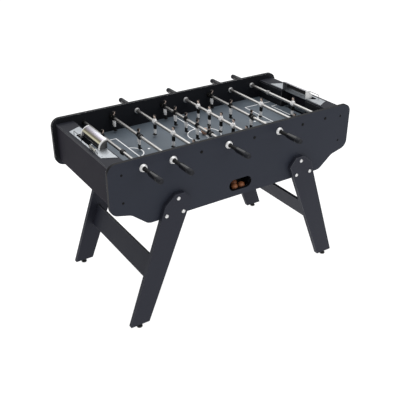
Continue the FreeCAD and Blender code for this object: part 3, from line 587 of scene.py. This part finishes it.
def addBoards():
    look = {
        "sideRim": 0.0022, "endRim": 0.0012, "bottomRim": 0.0008, "innerRim": 0.001, "legRim": 0.0018,
        "stretcherRim": 0.0015,
    }
    for name in ("near_side_panel", "far_side_panel"):
        addBoard(camel(name), name, [sideLaminate], look["sideRim"])
    for name in ("left_end_panel", "right_end_panel"):
        addBoard(camel(name), name, [endLaminate], look["endRim"])
    addBoard("bottomBoard", "bottom_board", [endLaminate], look["bottomRim"])
    addBoard("endShelves", "end_shelves", [shelfLaminate, plateSteel], look["innerRim"], addNotchStrips)
    addBoard("goalWalls", "goal_walls", [wallLaminate], look["innerRim"])
    for name in ("near_left_leg", "near_right_leg", "far_left_leg", "far_right_leg"):
        addBoard(camel(name), name, [laminate], look["legRim"])
    addBoard("stretchers", "stretchers", [laminate], look["stretcherRim"])
    for name, finish in (("playfield", pitchFinish), ("ball_tray", blackPlastic), ("ball_ramps", laminate)):
        for holder in nodes[name].material_slots:
            holder.material = finish.material


addBoards()
print("boards made")


# Rods


def addRods():  # a tube that slides along its inner rod
    look = {
        "tube": 0.0080, "bore": 0.00605, "core": 0.0060, "steps": 40, "tubeEdge": 0.0004, "coreEdge": 0.0006,
    }
    bore, tube, core = look["bore"], look["tube"], look["core"]
    for row in rows:
        x, z = rodAxis(row)
        low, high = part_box(row + "_tube")
        length = high.y - low.y
        profile = [(0, bore), (0, tube), (length, tube), (length, bore)]
        sleeve = turned(profile, look["steps"], closed=True, width=look["tubeEdge"])
        mesh = placed(sleeve, [alongY(x, low.y, z, 1)])
        addPiece(camel(row) + "Tube", mesh, row + "_rod", [chrome], [row + "_tube"])
        low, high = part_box(row + "_inner_rod")
        length = high.y - low.y
        profile = [(0, 0), (0, core), (length, core), (length, 0)]
        inner = turned(profile, look["steps"], width=look["coreEdge"])
        mesh = placed(inner, [alongY(x, low.y, z, 1)])
        addPiece(camel(row) + "InnerRod", mesh, row + "_core", [chrome], [row + "_inner_rod"])


def addHandles():  # (along, radius) from the collar of the neck to the rounded end
    look = {
        "neck": [
            (0.0, 0.0083), (0.0, 0.0090), (0.0015, 0.0098), (0.0050, 0.0099), (0.0065, 0.0091),
            (0.036, 0.0090),
        ],
        "sleeve": [
            (0.042, 0.0098), (0.048, 0.0118), (0.054, 0.0135), (0.060, 0.0140), (0.085, 0.01405),
            (0.1135, 0.0139),
        ],
        "groove": [(0.1155, 0.0134), (0.1165, 0.0127), (0.1185, 0.0127), (0.1195, 0.0136)],
        "end": [
            (0.1210, 0.0139), (0.134, 0.0137), (0.141, 0.0129), (0.1445, 0.0120), (0.1458, 0.0110),
            (0.1470, 0.0100), (0.1462, 0.0086), (0.1455, 0.0),
        ],
        "steps": 40, "smoothAngle": 50,
    }
    profile = look["neck"] + look["sleeve"] + look["groove"] + look["end"]
    for row in rows:
        x, z = rodAxis(row)
        low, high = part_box(row + "_handle")
        side = sideOf(low, high)
        start = low.y if side > 0 else high.y
        mesh = placed(turned(profile, look["steps"]), [alongY(x, start, z, side)])
        addPiece(
            camel(row) + "Handle", mesh, row + "_rod", [gripRubber], [row + "_handle"],
            look["smoothAngle"])


def addCollars():  # one on each keeper's rod, with a groove around its middle and a grub screw on top
    look = {
        "near": (0.0130, blackPlastic, "black_plastic"), "far": (0.0118, collarGrey, "collar_grey"),
        "bore": 0.0081, "lead": 0.0018, "grooveDepth": 0.0006, "grooveEdges": (0.42, 0.45, 0.55, 0.58),
        "steps": 40, "edge": 0.0003, "screwSteps": 16, "screwSink": 0.0018,
        "screw": [(0, 0.0), (0, 0.0026), (0.0016, 0.0026), (0.0016, 0.0014), (0.0004, 0.0013), (0.0004, 0)],
    }
    lead, bore = look["lead"], look["bore"]
    for team in ("near", "far"):
        outer, finish, slot = look[team]
        row = team + "_keeper"
        x, z = rodAxis(row)
        low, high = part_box(row + "_stop_collar")
        length = high.y - low.y
        waist = outer - look["grooveDepth"]
        places = [length * share for share in look["grooveEdges"]]
        groove = list(zip(places, (outer, waist, waist, outer)))
        profile = [(0, bore), (0, outer - lead), (lead, outer), *groove]
        profile += [(length - lead, outer), (length, outer - lead), (length, bore)]
        collar = turned(profile, look["steps"], closed=True, width=look["edge"])
        mesh = placed(collar, [alongY(x, low.y, z, 1)])
        screw = turned(look["screw"], look["screwSteps"])
        addCopy(mesh, screw, upright(x, (low.y + high.y) / 2, z + outer - look["screwSink"]))
        addPiece(team + "StopCollar", mesh, row + "_rod", [finish], [row + "_stop_collar"])


def addBearings():  # a bright cone ring, a black bush and a nut inside the panel
    look = {
        "seat": 0.321,
        "ring": [
            (-0.001, 0.0112), (0, 0.0186), (0.0022, 0.0190), (0.0032, 0.0184), (0.0105, 0.0146),
            (0.0118, 0.0138), (0.0120, 0.0128), (0.0116, 0.0112),
        ],
        "bush": [
            (-0.028, 0.0083), (-0.028, 0.0106), (0.0100, 0.0111), (0.0112, 0.0108), (0.0119, 0.0102),
            (0.0119, 0.0087), (0.0105, 0.0083),
        ],
        "nut": [
            (-0.018, 0.0108), (-0.018, 0.0150), (-0.0205, 0.0150), (-0.0210, 0.0136), (-0.0262, 0.0130),
            (-0.0268, 0.0124), (-0.0268, 0.0108),
        ],
        "steps": 48, "bushSteps": 40, "ringEdge": 0.0002, "nutEdge": 0.0003,
        "front": -0.0015, "frontBush": 0.01122, "rearBush": 0.0107,
    }
    whole = bmesh.new()
    addCopy(whole, turned(look["ring"], look["steps"], closed=True, width=look["ringEdge"]))
    addCopy(whole, turned(look["bush"], look["bushSteps"], closed=True))
    addCopy(whole, turned(look["nut"], look["steps"], closed=True, width=look["nutEdge"]))
    for face in whole.faces:  # 0 is bright steel, 1 black plastic and 2 the nut's steel
        middle = face.calc_center_median()
        radius = math.hypot(middle.x, middle.z)
        if middle.y > look["front"]:
            face.material_index = 1 if radius < look["frontBush"] else 0
        else:
            face.material_index = 1 if radius < look["rearBush"] else 2
    places = [alongY(x, side * look["seat"], z, side) for x, side, z in rodFittings("rod_bearings")]
    finishes = [ringSteel, blackPlastic, nutSteel]
    addPiece("rodBearings", placed(whole, places), "table", finishes, ["rod_bearings"])


def addAnchors():  # black bushes that hold the inner rods, each with a cap outside
    look = {
        "seat": 0.3208,
        "steps": 40,
        "profile": [
            (-0.030, 0.0), (-0.030, 0.0061), (-0.0295, 0.0085), (-0.0285, 0.0105), (-0.022, 0.0110),
            (-0.0205, 0.0130), (-0.018, 0.0130), (-0.018, 0.0074), (0.0, 0.0074), (0.0004, 0.0075),
            (0.0012, 0.0073), (0.0019, 0.0063), (0.0022, 0.0045), (0.0022, 0.0),
        ],
    }
    places = [alongY(x, side * look["seat"], z, side) for x, side, z in rodFittings("rod_anchors")]
    mesh = placed(turned(look["profile"], look["steps"]), places)
    addPiece("rodAnchors", mesh, "table", [coverBlack], ["rod_anchors"])


addRods()
addHandles()
addCollars()
addBearings()
addAnchors()
print("rods made")


# Team figures


def figureMesh():  # one moulded player facing +X, about the rod's axis
    look = {  # rings as lofted takes them, in millimetres
        "unit": 0.001, "sides": 14, "armSides": 10, "faceSides": 6,
        "shirt": [
            (-11, 0, 0, 7.4, 9.4), (-9.5, 0, 0, 8.4, 10.2), (-4, 0, 0, 8.8, 10.2), (2, 0.2, 0, 9.8, 11.0),
            (8, 0.3, 0, 9.6, 12.3), (13.5, 0, 0, 8.2, 12.0), (17, -0.3, 0, 6.0, 8.6),
            (18.6, -0.4, 0, 4.2, 4.8),
        ],
        "shorts": [
            (-37, 0.5, 0, 5.6, 9.6), (-35.5, 0.5, 0, 8.2, 11.2), (-28, 0.4, 0, 8.4, 11.0),
            (-18, 0, 0, 8.0, 10.4), (-11.5, 0, 0, 7.6, 9.6), (-9.5, 0, 0, 6.4, 8.6),
        ],
        "leg": [
            (-36, 0.6, 4.9, 5.2, 4.8), (-39, 0.8, 4.8, 4.9, 4.5), (-42, 0.8, 4.7, 4.7, 4.3),
            (-42.8, 0.8, 4.7, 5.3, 4.8), (-54, 0.2, 4.6, 5.3, 4.7), (-60, 0.2, 4.6, 4.6, 4.3),
            (-63, 0.6, 4.6, 5.0, 4.6),
        ],
        "boot": [
            (-62, 1.0, 5.0, 5.2, 4.9), (-65, 2.4, 5.3, 8.4, 5.4), (-68, 3.4, 5.4, 9.8, 5.8),
            (-70, 3.6, 5.4, 9.6, 5.6),
        ],
        "neck": [(15, -0.4, 0, 3.6, 3.9), (19, -0.2, 0, 3.2, 3.6), (23, 0.0, 0, 3.4, 3.8)],
        "head": [
            (20.5, 1.2, 0, 2.4, 2.6), (21.6, 1.0, 0, 4.6, 4.6), (24.5, 0.6, 0, 6.6, 6.0),
            (28.5, 0.2, 0, 7.4, 6.7), (32.5, 0.0, 0, 7.3, 6.7), (35.4, -0.2, 0, 5.8, 5.5),
            (36.8, -0.3, 0, 3.4, 3.2),
        ],
        "hair": [
            (23.0, -3.6, 0, 3.2, 4.6), (26.5, -3.0, 0, 5.3, 6.7), (30.0, -2.2, 0, 6.1, 7.3),
            (33.4, -1.1, 0, 7.1, 7.2), (36.2, -0.6, 0, 6.2, 5.9), (37.7, -0.6, 0, 3.6, 3.4),
        ],
        "eye": [(28.4, 6.7, 2.5, 0.3, 0.4), (29.1, 6.9, 2.5, 0.9, 1.1), (29.8, 6.7, 2.5, 0.3, 0.4)],
        "nose": [(25.9, 6.9, 0, 0.6, 0.8), (26.7, 7.3, 0, 1.4, 1.1), (28.9, 7.0, 0, 0.5, 0.5)],
        "mouth": [(24.0, 6.4, 0, 0.3, 0.9), (24.4, 6.7, 0, 0.9, 1.9), (24.8, 6.4, 0, 0.3, 0.9)],
        "arm": [
            (-10.5, 3.4, 10.0, 2.4, 1.5), (-9, 2.8, 10.4, 3.2, 2.2), (-2, 1.2, 10.9, 3.5, 2.6),
            (6, 0.0, 10.5, 4.0, 3.0), (12.5, -0.2, 9.4, 4.2, 3.2), (15.5, -0.2, 8.0, 2.8, 2.6),
        ],
        "sockTop": -0.0424, "sleeveEnd": 0.001,
        "boss": [
            (-0.0122, 0.0083), (-0.0122, 0.0098), (-0.0110, 0.0105), (0.0110, 0.0105), (0.0122, 0.0098),
            (0.0122, 0.0083),
        ],
        "bossSteps": 20,
    }
    shirt, shorts, leg, sock, boot, skin, hair = range(7)
    figure = bmesh.new()

    def part(name, index, sides=look["sides"], paired=False):
        shape = painted(lofted(look[name], sides, look["unit"]), index)
        if paired:
            addPair(figure, shape)
        else:
            addCopy(figure, shape)

    part("shirt", shirt)
    part("shorts", shorts)
    part("leg", leg, paired=True)
    part("boot", boot, paired=True)
    part("neck", skin)
    part("head", skin)
    part("hair", hair)
    part("eye", hair, look["faceSides"], paired=True)  # a plain small face
    part("nose", skin, look["faceSides"])
    part("mouth", hair, look["faceSides"])
    arm = lofted(look["arm"], look["armSides"], look["unit"])
    for face in arm.faces:
        face.material_index = shirt if face.calc_center_median().z > look["sleeveEnd"] else skin
    addPair(figure, arm)
    addCopy(figure, turned(look["boss"], look["bossSteps"], closed=True))
    for face in figure.faces:
        if face.material_index == leg and face.calc_center_median().z < look["sockTop"]:
            face.material_index = sock
    return figure


def addFigures():  # a kit paints the shirt, shorts, legs, socks and boots, and skin and hair follow
    look = {
        "near": ("figure_black", [blackPaint, whitePaint, whitePaint, blackPaint, blackPaint]),
        "far": ("figure_white", [whitePaint, blackPaint, whitePaint, whitePaint, blackPaint]),
        "smoothAngle": 180, "levels": 1,
    }
    whole = figureMesh()
    for row in rows:
        team = row.split("_")[0]
        slot, kit = look[team]
        x, z = rodAxis(row)
        mesh = bmesh.new()
        for low, high in islands(row + "_figures"):
            place = alongY(x, (low.y + high.y) / 2, z, 1 if team == "near" else -1)
            addCopy(mesh, whole, place, keep=True)
        finishes = [*kit, skinPaint, hairPaint]
        piece = addPiece(
            camel(row) + "Figures", mesh, row + "_rod", finishes, [row + "_figures"],
            look["smoothAngle"])
        smoother = piece.modifiers.new("smoother", "SUBSURF")
        smoother.levels = smoother.render_levels = look["levels"]
    whole.free()


def addStopRings():  # beside the nearest player, short enough to clear the bearing nut at full travel
    look = {
        "start": 0.0120, "length": 0.0093, "outer": 0.0142, "bore": 0.0081, "lead": 0.0012, "edge": 0.0003,
        "steps": 40,
    }
    length, outer, bore, lead = look["length"], look["outer"], look["bore"], look["lead"]
    profile = [(0, bore), (0, outer - lead), (lead, outer)]
    profile += [(length - lead, outer), (length, outer - lead), (length, bore)]
    for row in ("near_defence", "near_midfield", "near_attack"):
        low, high = min(islands(row + "_figures"), key=lambda box: box[0].y)
        x, z = rodAxis(row)
        ring = turned(profile, look["steps"], closed=True, width=look["edge"])
        mesh = placed(ring, [alongY(x, (low.y + high.y) / 2 - look["start"], z, -1)])
        addPiece(camel(row) + "StopRing", mesh, row + "_rod", [blackPlastic], [])


addFigures()
addStopRings()
print("figures made")


# Goals


def hoodMesh():  # one hood for the right goal, about the axis of its quarter round
    look = {
        "radius": 0.045, "sheet": 0.0025, "lip": 34, "halfWidth": 0.098, "steps": 14, "rim": 0.0068,
        "rimWidth": 0.0055, "lap": 0.0005, "cheek": (0.0018, 0.0042), "screen": (0.0292, 0.0308, 0.0300),
        "foot": [
            (0.018, 0.0), (0.0288, 0.0), (0.0288, 0.0090), (0.0276, 0.0090), (0.0276, 0.0014),
            (0.018, 0.0012),
        ],
        "edge": 0.0004, "sharp": 40, "skin": 0.0004,
    }
    steel, dark, cheekFront, rim, plate, cheekBackPaintedLight = range(6)
    radius, half, lap = look["radius"], look["halfWidth"], look["lap"]
    inside = radius - look["sheet"]
    edge = half - look["rimWidth"]

    def bent(inner, low, high, angle, index):  # a bar bent about the hood's axis
        mesh = bmesh.new()
        corners = [(0, low, inner), (0, high, inner), (0, high, radius), (0, low, radius)]
        start = mesh.faces.new([mesh.verts.new(corner) for corner in corners])
        bmesh.ops.spin(
            mesh, geom=[start, *start.verts, *start.edges], cent=(0, 0, 0), axis=(0, 1, 0),
            angle=math.radians(angle), steps=look["steps"])
        bmesh.ops.remove_doubles(mesh, verts=mesh.verts, dist=making["weld"])
        bmesh.ops.recalc_face_normals(mesh, faces=mesh.faces)
        return painted(mesh, index)

    def quarter(index, thick):  # a cheek: a quarter disc given its thickness
        mesh = bmesh.new()
        centre, top = mesh.verts.new((0, 0, 0)), mesh.verts.new((0, 0, radius - look["rim"] + lap))
        line = mesh.edges.new((centre, top))
        bmesh.ops.spin(
            mesh, geom=[centre, top, line], cent=(0, 0, 0), axis=(0, 1, 0), angle=math.pi / 2,
            steps=look["steps"])
        bmesh.ops.remove_doubles(mesh, verts=mesh.verts, dist=making["weld"])
        bmesh.ops.dissolve_limit(mesh, angle_limit=0.01, verts=mesh.verts, edges=mesh.edges)
        grown = bmesh.ops.extrude_face_region(mesh, geom=list(mesh.faces))["geom"]
        bmesh.ops.translate(mesh, vec=(0, thick, 0), verts=vertsOf(grown))
        bmesh.ops.recalc_face_normals(mesh, faces=mesh.faces)
        return painted(mesh, index)

    hood = bmesh.new()
    shell = bent(inside, -edge - lap, edge + lap, 90 - look["lip"], steel)
    for face in shell.faces:
        middle = face.calc_center_median()
        if math.hypot(middle.x, middle.z) < inside + look["skin"] or middle.x < look["skin"]:
            face.material_index = dark
    addCopy(hood, shell)
    for low, high in ((-half, -edge), (edge, half)):
        addCopy(hood, bent(radius - look["rim"], low, high, 90, rim))
    near, far = look["cheek"]  # how far its two faces stand in from the hood's end
    addCopy(hood, quarter(rim, far - near), Matrix.Translation((0, -half + near, 0)))
    cheek = quarter(cheekFront, far - near)
    # painted light: the inner face of this cheek gets a paler grey to stand in for light it lacks under the
    # hood
    for face in cheek.faces:
        if face.normal.y < -0.9:
            face.material_index = cheekBackPaintedLight
    addCopy(hood, cheek, Matrix.Translation((0, half - far, 0)))
    low, high, top = look["screen"]
    addCopy(hood, painted(extruded([(low, 0), (high, 0), (high, top), (low, top)], -edge, edge), dark))
    addCopy(hood, painted(extruded(look["foot"], -edge, edge), plate))
    soften(hood, look["edge"], 2, look["sharp"])
    return hood


def addGoals():
    look = {"leastSize": (0.05, 0.04), "smoothAngle": 30}
    leastWidth, leastHeight = look["leastSize"]
    places = []
    for low, high in islands("goal_hoods"):
        side = 1 if low.x > 0 else -1
        x = low.x if side > 0 else high.x
        if high.y - low.y > leastWidth and high.z - low.z > leastHeight:
            places.append(Matrix.Translation((x, 0, low.z)) @ turnedTo(side))
    finishes = [hoodSteel, hoodInside, cheekGrey, rimSteel, plateSteel, cheekInside]
    mesh = placed(hoodMesh(), places)
    addPiece("goalHoods", mesh, "table", finishes, ["goal_hoods"], look["smoothAngle"])


def crossScrew(radius, height, reach):  # a screw head with a cross recess, pointing to +Z
    look = {"flat": 0.78, "flatHeight": 0.92, "recess": 0.7, "drops": (0.55, 0.37), "sides": 12, "turn": 15}
    mesh = bmesh.new()
    bmesh.ops.create_grid(mesh, x_segments=3, y_segments=3, size=reach)
    middles = {face: face.calc_center_median() for face in mesh.faces}
    cross = [face for face, middle in middles.items() if min(abs(middle.x), abs(middle.y)) < reach * 0.1]
    sunk = bmesh.ops.extrude_face_region(mesh, geom=cross)["geom"]
    bmesh.ops.translate(mesh, vec=(0, 0, -height * look["recess"]), verts=vertsOf(sunk))
    bmesh.ops.delete(mesh, geom=cross, context="FACES")
    bmesh.ops.translate(mesh, vec=(0, 0, height), verts=mesh.verts)
    inner = [edge for edge in mesh.edges if len(edge.link_faces) == 1]
    flat = look["flat"]
    made = bmesh.ops.create_circle(mesh, cap_ends=False, radius=radius * flat, segments=look["sides"])
    ring = made["verts"]
    turn = Matrix.Rotation(math.radians(look["turn"]), 3, "Z")
    bmesh.ops.rotate(mesh, cent=(0, 0, 0), matrix=turn, verts=ring)
    bmesh.ops.translate(mesh, vec=(0, 0, height * look["flatHeight"]), verts=ring)
    outer = edgesOf(mesh.edges, ring)
    bmesh.ops.bridge_loops(mesh, edges=inner + outer)
    for scale, drop in zip((1 / flat, 1), look["drops"]):
        grown = bmesh.ops.extrude_edge_only(mesh, edges=outer)["geom"]
        fresh = vertsOf(grown)
        outer = edgesOf(grown, fresh)
        bmesh.ops.scale(mesh, vec=(scale, scale, 1), verts=fresh)
        bmesh.ops.translate(mesh, vec=(0, 0, -height * drop), verts=fresh)
    bmesh.ops.contextual_create(mesh, geom=outer)
    bmesh.ops.recalc_face_normals(mesh, faces=mesh.faces)
    return mesh


def addPlates():  # two flat plates with four screws each
    look = {
        "screw": (0.0032, 0.0013, 0.0019), "sink": 0.0002, "out": (0.600, 0.646), "across": 0.165,
        "edge": 0.0003, "sharp": 60,
    }

    def screws(mesh):
        head = crossScrew(*look["screw"])
        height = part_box("goal_plates")[1].z - look["sink"]
        for out in look["out"]:
            for y in (-look["across"], look["across"]):
                for x in (-out, out):
                    addCopy(mesh, head, Matrix.Translation((x, y, height)), keep=True)
        head.free()

    addBoard("goalPlates", "goal_plates", [plateSteel], look["edge"], screws, look["sharp"])


def addScoreWires():  # each runs up, across and down, with rounded bends
    look = {"wire": 0.0015, "bend": 0.006, "sides": 12, "steps": 6}
    wire, bend = look["wire"], look["bend"]
    mesh = bmesh.new()

    def straight(edges, vec):
        grown = bmesh.ops.extrude_edge_only(mesh, edges=edges)["geom"]
        fresh = vertsOf(grown)
        bmesh.ops.translate(mesh, vec=vec, verts=fresh)
        return edgesOf(grown, fresh)

    def bent(edges, centre):
        swept = bmesh.ops.spin(
            mesh, geom=edges, cent=centre, axis=(1, 0, 0), angle=-math.pi / 2, steps=look["steps"])
        return [item for item in swept["geom_last"] if isinstance(item, bmesh.types.BMEdge)]

    for low, high in islands("score_wires"):
        x = (low.x + high.x) / 2
        made = bmesh.ops.create_circle(mesh, cap_ends=True, radius=wire, segments=look["sides"])
        verts = made["verts"]
        bmesh.ops.translate(mesh, vec=(x, low.y + wire, low.z), verts=verts)
        edges = list({edge for vert in verts for edge in vert.link_edges})
        rise = high.z - wire - low.z - bend
        run = high.y - low.y - 2 * wire - 2 * bend
        edges = straight(edges, (0, 0, rise))
        edges = bent(edges, (x, low.y + wire + bend, low.z + rise))
        edges = straight(edges, (0, run, 0))
        edges = bent(edges, (x, high.y - wire - bend, low.z + rise))
        edges = straight(edges, (0, 0, -rise))
        bmesh.ops.contextual_create(mesh, geom=edges)
    bmesh.ops.remove_doubles(mesh, verts=mesh.verts, dist=making["weld"])
    bmesh.ops.recalc_face_normals(mesh, faces=mesh.faces)
    addPiece("scoreWires", mesh, "table", [wireSteel], ["score_wires"])


def addScoreSliders():  # beads with dark grooves between them
    look = {
        "bore": 0.0017, "lead": 0.0012, "end": 0.8, "beads": 7, "waist": 0.70,
        "groove": (0.25, 0.40, 0.75, 0.90), "dark": 0.9, "darkFrom": 0.002, "steps": 28, "smoothAngle": 30,
    }
    bore, lead, waist = look["bore"], look["lead"], look["waist"]
    for side in ("left", "right"):
        low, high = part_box(side + "_score_slider")
        length = high.y - low.y
        radius = (high.z - low.z) / 2
        step = (length - 2 * lead) / look["beads"]
        profile = [(0, bore), (0, radius * look["end"]), (lead, radius)]
        for index in range(look["beads"]):
            places = [lead + (index + share) * step for share in look["groove"]]
            profile += zip(places, (radius, radius * waist, radius * waist, radius))
        profile += [(length - lead, radius), (length, radius * look["end"]), (length, bore)]

        def grooveOrBead(along, reach):
            between = look["darkFrom"] < along < length - look["darkFrom"]
            return 1 if between and reach < radius * look["dark"] else 0

        slider = turned(profile, look["steps"], closed=True, materialOf=grooveOrBead)
        mesh = placed(slider, [alongY((low.x + high.x) / 2, low.y, (low.z + high.z) / 2, 1)])
        addPiece(
            side + "ScoreSlider", mesh, side + "_score_marker", [markerPlastic, coverBlack],
            [side + "_score_slider"], look["smoothAngle"])


addGoals()
addPlates()
addScoreWires()
addScoreSliders()
print("goals made")


# Fixings, feet and balls


def addBolts():  # domed heads on the outer faces of the legs
    look = {
        "dome": [
            (-0.002, 0.0), (-0.002, 0.0095), (0.0004, 0.0100), (0.0018, 0.0090), (0.0034, 0.0066),
            (0.0045, 0.0036), (0.0049, 0.0),
        ],
        "seat": 0.344, "outside": 0.345, "smoothAngle": 60,
    }
    places = []
    for low, high in islands("leg_bolts"):
        side = sideOf(low, high)
        if max(abs(low.y), abs(high.y)) > look["outside"]:
            places.append(alongY((low.x + high.x) / 2, side * look["seat"], (low.z + high.z) / 2, side))
    mesh = placed(turned(look["dome"]), places)
    addPiece("legBolts", mesh, "table", [zincSteel], ["leg_bolts"], look["smoothAngle"])


def addScrewCovers():  # black heads on the side panels
    look = {"screw": (0.0060, 0.0012, 0.0027), "seat": 0.3209, "turn": 40, "smoothAngle": 30}
    turn = Matrix.Rotation(math.radians(look["turn"]), 4, "Z")
    places = []
    for low, high in islands("screw_covers"):
        side = sideOf(low, high)
        place = Matrix.Translation(((low.x + high.x) / 2, side * look["seat"], (low.z + high.z) / 2))
        places.append(place @ Matrix.Rotation(-side * math.pi / 2, 4, "X") @ turn)
    mesh = placed(crossScrew(*look["screw"]), places)
    addPiece(
        "screwCovers", mesh, "table", [coverBlack], ["screw_covers"], look["smoothAngle"])


def addGlides():  # a foot and its stem
    look = {
        "profile": [
            (0, 0), (0, 0.0128), (0.0010, 0.0143), (0.0025, 0.0150), (0.0062, 0.0150), (0.0085, 0.0138),
            (0.0098, 0.0085), (0.0100, 0.0062), (0.0176, 0.0060), (0.0180, 0.0),
        ],
        "steps": 36, "floorGap": 0.005, "smoothAngle": 40,
    }
    feet = [(low + high) / 2 for low, high in islands("foot_glides") if low.z < look["floorGap"]]
    mesh = placed(turned(look["profile"], look["steps"]), [upright(foot.x, foot.y, 0) for foot in feet])
    addPiece(
        "footGlides", mesh, "table", [blackPlastic], ["foot_glides"], look["smoothAngle"])


def addBalls():
    look = {"subdivisions": 4, "smoothAngle": 180}
    mesh = bmesh.new()
    for low, high in islands("game_balls"):
        ball = bmesh.new()
        bmesh.ops.create_icosphere(ball, subdivisions=look["subdivisions"], radius=(high.z - low.z) / 2)
        addCopy(mesh, ball, Matrix.Translation((low + high) / 2))
    addPiece("gameBalls", mesh, "table", [ballFinish], ["game_balls"], look["smoothAngle"])


addBolts()
addScrewCovers()
addGlides()
addBalls()
print("fixings made")


# Floor, light and camera


def addFloor():
    look = {"colour": (0.25, 0.25, 0.25, 1), "glow": 0.93, "size": 14}
    mesh = bmesh.new()
    bmesh.ops.create_grid(mesh, x_segments=4, y_segments=4, size=look["size"])
    data = bpy.data.meshes.new("floor")
    mesh.to_mesh(data)
    mesh.free()
    floor = bpy.data.objects.new("floor", data)
    bpy.context.scene.collection.objects.link(floor)
    pale = Finish("paleFloor", {
        "Base Color": look["colour"], "Specular IOR Level": 0.2, "Emission Color": (1, 1, 1, 1),
        "Emission Strength": look["glow"],
    })
    pale.feed("Roughness", 0.75 + 0.1 * pale.noise(3, 2))
    data.materials.append(pale.material)


def addLights():
    look = {
        "world": 0.52,
        "lights": {  # place, aim, size and power
            "topLight": ((0.3, 1.0, 3.6), (0, 0, 0.7), 4.4, 112),
            "frontLight": ((0.6, -3.8, 2.4), (0, 0, 0.6), 2.2, 36),
        },
    }
    world = bpy.data.worlds.new("studio")
    bpy.context.scene.world = world
    world.use_nodes = True
    background = world.node_tree.nodes["Background"]
    background.inputs["Color"].default_value = (1, 1, 1, 1)
    background.inputs["Strength"].default_value = look["world"]
    for name, (place, aim, size, power) in look["lights"].items():
        light = bpy.data.lights.new(name, "AREA")
        light.size = size
        light.energy = power
        lamp = bpy.data.objects.new(name, light)
        bpy.context.scene.collection.objects.link(lamp)
        lamp.location = place
        lamp.rotation_euler = (Vector(aim) - Vector(place)).to_track_quat("-Z", "Y").to_euler()


def addCamera():  # turn, tilt and roll in degrees, lens and sensor in millimetres
    look = {
        "place": (-1.64326, -2.51152, 2.03090), "turn": 32.7473, "tilt": 28.9462, "roll": 0.1164,
        "lens": 56.874, "sensor": 36, "reach": 60,
    }
    turn, tilt, roll = (math.radians(look[key]) for key in ("turn", "tilt", "roll"))
    back = Vector((-math.sin(turn) * math.cos(tilt), -math.cos(turn) * math.cos(tilt), math.sin(tilt)))
    right = (-back).cross(Vector((0, 0, 1))).normalized()
    up = right.cross(-back)
    rolled = right * math.cos(-roll) + up * math.sin(-roll)
    up = up * math.cos(-roll) - right * math.sin(-roll)
    lens = bpy.data.cameras.new("camera")
    lens.sensor_width = look["sensor"]
    lens.lens = look["lens"]
    lens.clip_end = look["reach"]
    camera = bpy.data.objects.new("camera", lens)
    bpy.context.scene.collection.objects.link(camera)
    axes = Matrix((rolled, up, back)).transposed().to_4x4()
    camera.matrix_world = Matrix.Translation(look["place"]) @ axes
    bpy.context.scene.camera = camera
    bpy.context.scene.view_settings.view_transform = "Standard"


addFloor()
addLights()
addCamera()
print("studio made")
